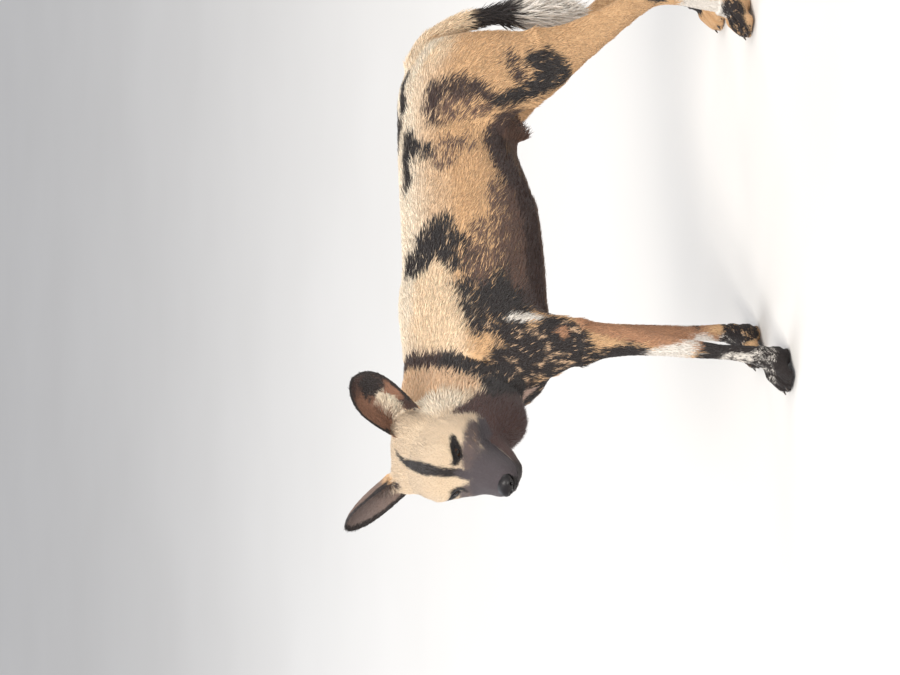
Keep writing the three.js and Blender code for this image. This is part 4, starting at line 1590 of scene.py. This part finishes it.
def makeEye(name, side, material):
    gaze = eyeAxes(side)[0] @ headTurn.T
    turn = Vector(gaze).to_track_quat("Z", "Y")
    bpy.ops.mesh.primitive_uv_sphere_add(segments=64, ring_count=64, radius=eyeball["radius"] * mm)
    eye = bpy.context.object
    eye.name = eye.data.name = name + "_ball"
    places = placesOf(eye.data)
    angle = np.arccos(np.clip(places[:, 2] / (eyeball["radius"] * mm), -1, 1))
    bulge = 1 + cornea["height"] * smooth(*cornea["reach"], angle)
    turned = (places * bulge[:, None]) @ np.array(turn.to_matrix()).T + fromHead(eyePlace(side))
    moveTo(eye.data, turned)
    reach = eye.data.attributes.new("fromPupil", "FLOAT", "POINT")
    reach.data.foreach_set("value", (angle / (math.pi / 2)).astype(np.float32))
    finishPiece(eye, material, name)


noseForm = {
    "place": (94, 0, -37.5),
    "size": (14.5, 22, 15),
    "boxiness": 0.74,
    "rounding": 0.45,
    "nostril": (12.5, 9.0, -1.0),
    "nostrilSize": (7, 4.4, 4.0),
    "nostrilDepth": 7.5,
    "wing": 0.9,
    "slit": [(13, 10, -3), (11, 15, -5.5), (5, 19.5, -6.5), (-3, 22, -5)],
    "slitDepth": 3.4,
    "groove": 1.8,
}


def noseBlock(p):  # a rounded box, narrow below, its front sloping back
    p = np.sign(p) * np.abs(p) ** noseForm["boxiness"]
    length = np.linalg.norm(p, axis=1, keepdims=True)
    p = p / np.maximum(length, 1e-6) ** noseForm["rounding"]
    p = p * np.array(noseForm["size"])
    p[:, 1] *= 1 - 0.3 * smooth(1, -14, p[:, 2])
    p[:, 0] -= 3.0 * smooth(3, -14, p[:, 2]) + 2.0 * smooth(4, 14, p[:, 2])
    p[:, 2] -= 2.2 * smooth(6, 21, np.abs(p[:, 1])) * smooth(-4, 8, p[:, 2])
    return p


def makeNose(material):
    bpy.ops.mesh.primitive_uv_sphere_add(segments=160, ring_count=112, radius=1)
    nose = bpy.context.object
    nose.name = nose.data.name = "nose_pad"
    p = noseBlock(placesOf(nose.data))
    out = unit(p)
    for side in (1, -1):
        pit = np.array(noseForm["nostril"]) * (1, side, 1)
        away = np.linalg.norm((p - pit) / np.array(noseForm["nostrilSize"]), axis=1)
        hollow = smooth(1.1, 0.25, away) * noseForm["nostrilDepth"]
        fromSlit = reachOfLine(p, mirrored(noseForm["slit"], side))[0]
        slit = smooth(2.4, 0.6, fromSlit) * noseForm["slitDepth"]
        wing = np.exp(-(((away - 1.5) / 0.35) ** 2)) * noseForm["wing"]
        p = p - out * (np.maximum(hollow, slit) - wing)[:, None]
    groove = np.exp(-((p[:, 1] / 0.9) ** 2)) * smooth(5, -2, p[:, 2]) * smooth(4, 9, p[:, 0])
    p = p - out * (noseForm["groove"] * groove)[:, None]
    moveTo(nose.data, fromHead(p + np.array(noseForm["place"])))
    finishPiece(nose, material, "nose")


def makeClaws(material):
    for name in [n for n in nodes if n.startswith("claw")]:
        claw = mergedCopy(name)
        claw.name = claw.data.name = name + "_horn"
        applyModifier(claw, "SUBSURF", levels=2, render_levels=2)
        finishPiece(claw, material, name)


# Put together

floorGap = 0.0002


def makeSkin():
    skin = joinFlesh()
    around = Neighbours(skin.data)
    places = placesOf(skin.data)
    moveTo(skin.data, around.evened(places, skinForm["evenings"], 1))
    print("skin joined,", len(skin.data.polygons), "faces")
    softenCuts(skin, nearestPart(placesOf(skin.data)))
    thinOut(skin)
    sinkUnderCoat(skin)
    sculptPaws(skin)
    sculptEars(skin, nearestPart(placesOf(skin.data)))
    layMouth(skin)
    refineHead(skin)
    sculptHead(skin)
    places = placesOf(skin.data)
    places[:, 2] = np.maximum(places[:, 2], floorGap)
    moveTo(skin.data, places)
    print("skin shaped,", len(skin.data.polygons), "triangles")
    return skin


def surveyOf(skin):  # all that the coat has to know at each of the skin's vertices
    mesh = skin.data
    places, normals = placesOf(mesh), normalsOf(mesh)
    parts = nearestPart(places)
    around = Neighbours(mesh)
    lie = around.spread(lieOfCoat(places, normals, parts), 14)
    return {
        "places": places,
        "normals": normals,
        "parts": parts,
        "lie": laid(lie, normals),
        "rimReach": rimReachOf(skin, places, normals, parts),
        "bare": bareness(places),
        **coatFields(places, normals, parts, around),
    }


def bareness(places):  # where no tuft grows: inside the lids, at the nose, on the soles
    own = toHead(places)
    bare = np.zeros(len(places))
    for side in eyeSides.values():
        near = np.linalg.norm(own - eyePlace(side), axis=1) < 18
        bare = np.maximum(bare, near * (lidOpening(own, side)[0] > -2.0))
    bare = np.maximum(bare, fromMouth(own) < 1.5)
    away = (own - np.array(noseForm["place"])) / (np.array(noseForm["size"]) + 2.5)
    bare = np.maximum(bare, np.linalg.norm(away, axis=1) < 1)
    return np.maximum(bare, places[:, 2] < 0.004)


def paintSkin(skin, survey, marks):
    mesh = skin.data
    places, lie = survey["places"], survey["lie"]
    keys = ("places", "normals", "parts", "lie", "rimReach")
    colours = coatColour(*(survey[key] for key in keys), marks)
    own = toHead(places)
    for side in eyeSides.values():  # dark rims of the lids
        near = np.linalg.norm(own - eyePlace(side), axis=1) < 18
        rim = smooth(-3.2, -1.6, lidOpening(own, side)[0]) * near
        colours = mix(colours, linear("skin"), rim[:, None])
    # painted shade: the skin under the coat is painted darker than the tufts, as the fur shades it
    paint(mesh, colours * 0.8)
    strand = mesh.attributes.new("strand", "FLOAT_VECTOR", "POINT")
    away = places - places.mean(0)
    stretched = away - 0.8 * lie * (away * lie).sum(1, keepdims=True)
    strand.data.foreach_set("vector", stretched.astype(np.float32).ravel())
    mesh.polygons.foreach_set("use_smooth", np.ones(len(mesh.polygons), bool))


clumps = {"size": 0.009, "jitter": 0.002, "pull": 0.45, "from": (4, 14)}


def clumpPull(roots, n, length):  # long hairs lean towards the others of their clump
    jittered = roots + clumps["jitter"] * random.standard_normal(roots.shape)
    clump = np.floor(jittered / clumps["size"]).astype(np.int64)
    key = (clump[:, 0] * 9001 + clump[:, 1]) * 9001 + clump[:, 2]
    number = np.unique(key, return_inverse=True)[1].ravel()
    total = np.bincount(number)
    centre = np.stack([np.bincount(number, roots[:, i]) / total for i in range(3)], 1)[number]
    pull = clumps["pull"] * (centre - roots) * smooth(*clumps["from"], length)[:, None]
    return pull - n * (pull * n).sum(1, keepdims=True)


def tuftRoots(survey, corners, shares, roots, marks):
    count = len(roots)

    def at(key):
        values = survey[key]
        weights = shares.reshape(shares.shape + (1,) * (values.ndim - 1))
        return (values[corners] * weights).sum(1)

    n = unit(at("normals"))
    t = laid(at("lie"), n)
    swirl = 0.16 * random.standard_normal(count) + 0.3 * blotches(roots, 0.03, 11)
    t = laid(t + np.cross(n, t) * swirl[:, None], n)
    parts = survey["parts"][corners[np.arange(count), shares.argmax(1)]]
    length = at("length") * random.uniform(0.7, 1.25, count)
    lift = at("lift") * random.uniform(0.5, 1.5, count)
    pull = clumpPull(roots, n, length)
    jitter = roots + 0.0015 * random.standard_normal(roots.shape)
    uneven = 0.07 + 0.08 * smooth(5, 13, length)
    return {
        "place": roots,
        "normal": n,
        "lie": t,
        "length": length,
        "width": at("width") * random.uniform(0.75, 1.3, count),
        "lift": np.clip(lift, 2, 50),
        "bend": 0.1 * random.standard_normal(count),
        "pull": pull,
        "colour": coatColour(jitter, n, parts, t, at("rimReach"), marks),
        "tint": 1 + random.uniform(-1, 1, count) * uneven,
    }


def coatAndSkin():
    skin = makeSkin()
    survey = surveyOf(skin)
    marks = allMarks()
    paintSkin(skin, survey, marks)
    corners = trianglesOf(skin.data)
    middle = survey["places"][corners].mean(1)
    faceNames = coatPieceOf(middle, survey["parts"][corners[:, 0]])
    maps = unwrapPieces(skin, faceNames)
    print("skin painted and unwrapped")
    haired = survey["bare"][corners].mean(1) < 0.5
    coats = {}
    for name in sorted(set(faceNames)):
        mine = np.where((faceNames == name) & haired)[0]
        face, shares, roots = scatter(corners[mine], survey["places"], survey["apart"])
        face = mine[face]
        data = tuftRoots(survey, corners[face], shares, roots, marks)
        data["map"] = (maps[face] * shares[:, :, None]).sum(1)
        coats[name] = growTufts(name, data, coatRings.get(name, 2))
        print(name, len(roots), "tufts")
    return skin, coats


# Floor and light

lamps = [
    {"place": (3.2, -2.6, 4.2), "size": 2.4, "power": 330, "tone": (1.0, 0.96, 0.9)},
    {"place": (-3.5, -2.0, 3.2), "size": 3.5, "power": 110, "tone": (0.93, 0.96, 1.0)},
    {"place": (0.6, 3.8, 3.6), "size": 3.0, "power": 120, "tone": (1.0, 0.97, 0.92)},
]
lampAim = (0, 0, 0.45)
sky = {"tone": (0.9, 0.93, 1.0, 1), "strength": 0.75}


def makeRoom():
    bpy.ops.mesh.primitive_plane_add(size=120, location=(0, 0, -0.0005))
    floor = bpy.context.object
    floor.name = "floor"
    floor.data.materials.append(floorMaterial())
    for lamp in lamps:
        data = bpy.data.lights.new("lamp", "AREA")
        data.size, data.energy, data.color = lamp["size"], lamp["power"], lamp["tone"]
        holder = bpy.data.objects.new("lamp", data)
        bpy.context.scene.collection.objects.link(holder)
        aim = Vector(lampAim) - Vector(lamp["place"])
        holder.location = lamp["place"]
        holder.rotation_euler = aim.to_track_quat("-Z", "Y").to_euler()
    world = bpy.data.worlds.new("world")
    world.use_nodes = True
    background = world.node_tree.nodes["Background"]
    background.inputs["Color"].default_value = sky["tone"]
    background.inputs["Strength"].default_value = sky["strength"]
    bpy.context.scene.world = world
    bpy.context.scene.view_settings.view_transform = "Standard"


def trianglesIn(piece):
    return len(piece.data.loops) - 2 * len(piece.data.polygons)


makeCamera()
skin, coats = coatAndSkin()
hairTone = makeFurGroup()
skinMaterial = furMaterial("skinFur", hairTone, **furs["skinFur"])
coatMaterial = furMaterial("coatFur", hairTone, **furs["coatFur"])
skin.data.materials.clear()
skin.data.materials.append(skinMaterial)
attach(skin, "root")
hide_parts(*fleshNames)
for piece in coats.values():
    piece.data.materials.append(coatMaterial)
    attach(piece, "root")
eyeFinish = eyeMaterial()
for name, side in eyeSides.items():
    makeEye(name, side, eyeFinish)
makeNose(pebbled("noseLeather", **hides["noseLeather"]))
makeClaws(pebbled("clawHorn", **hides["clawHorn"]))
makeRoom()
triangles = {piece.name: trianglesIn(piece) for piece in (skin, *coats.values())}
print("triangles", triangles, sum(triangles.values()))
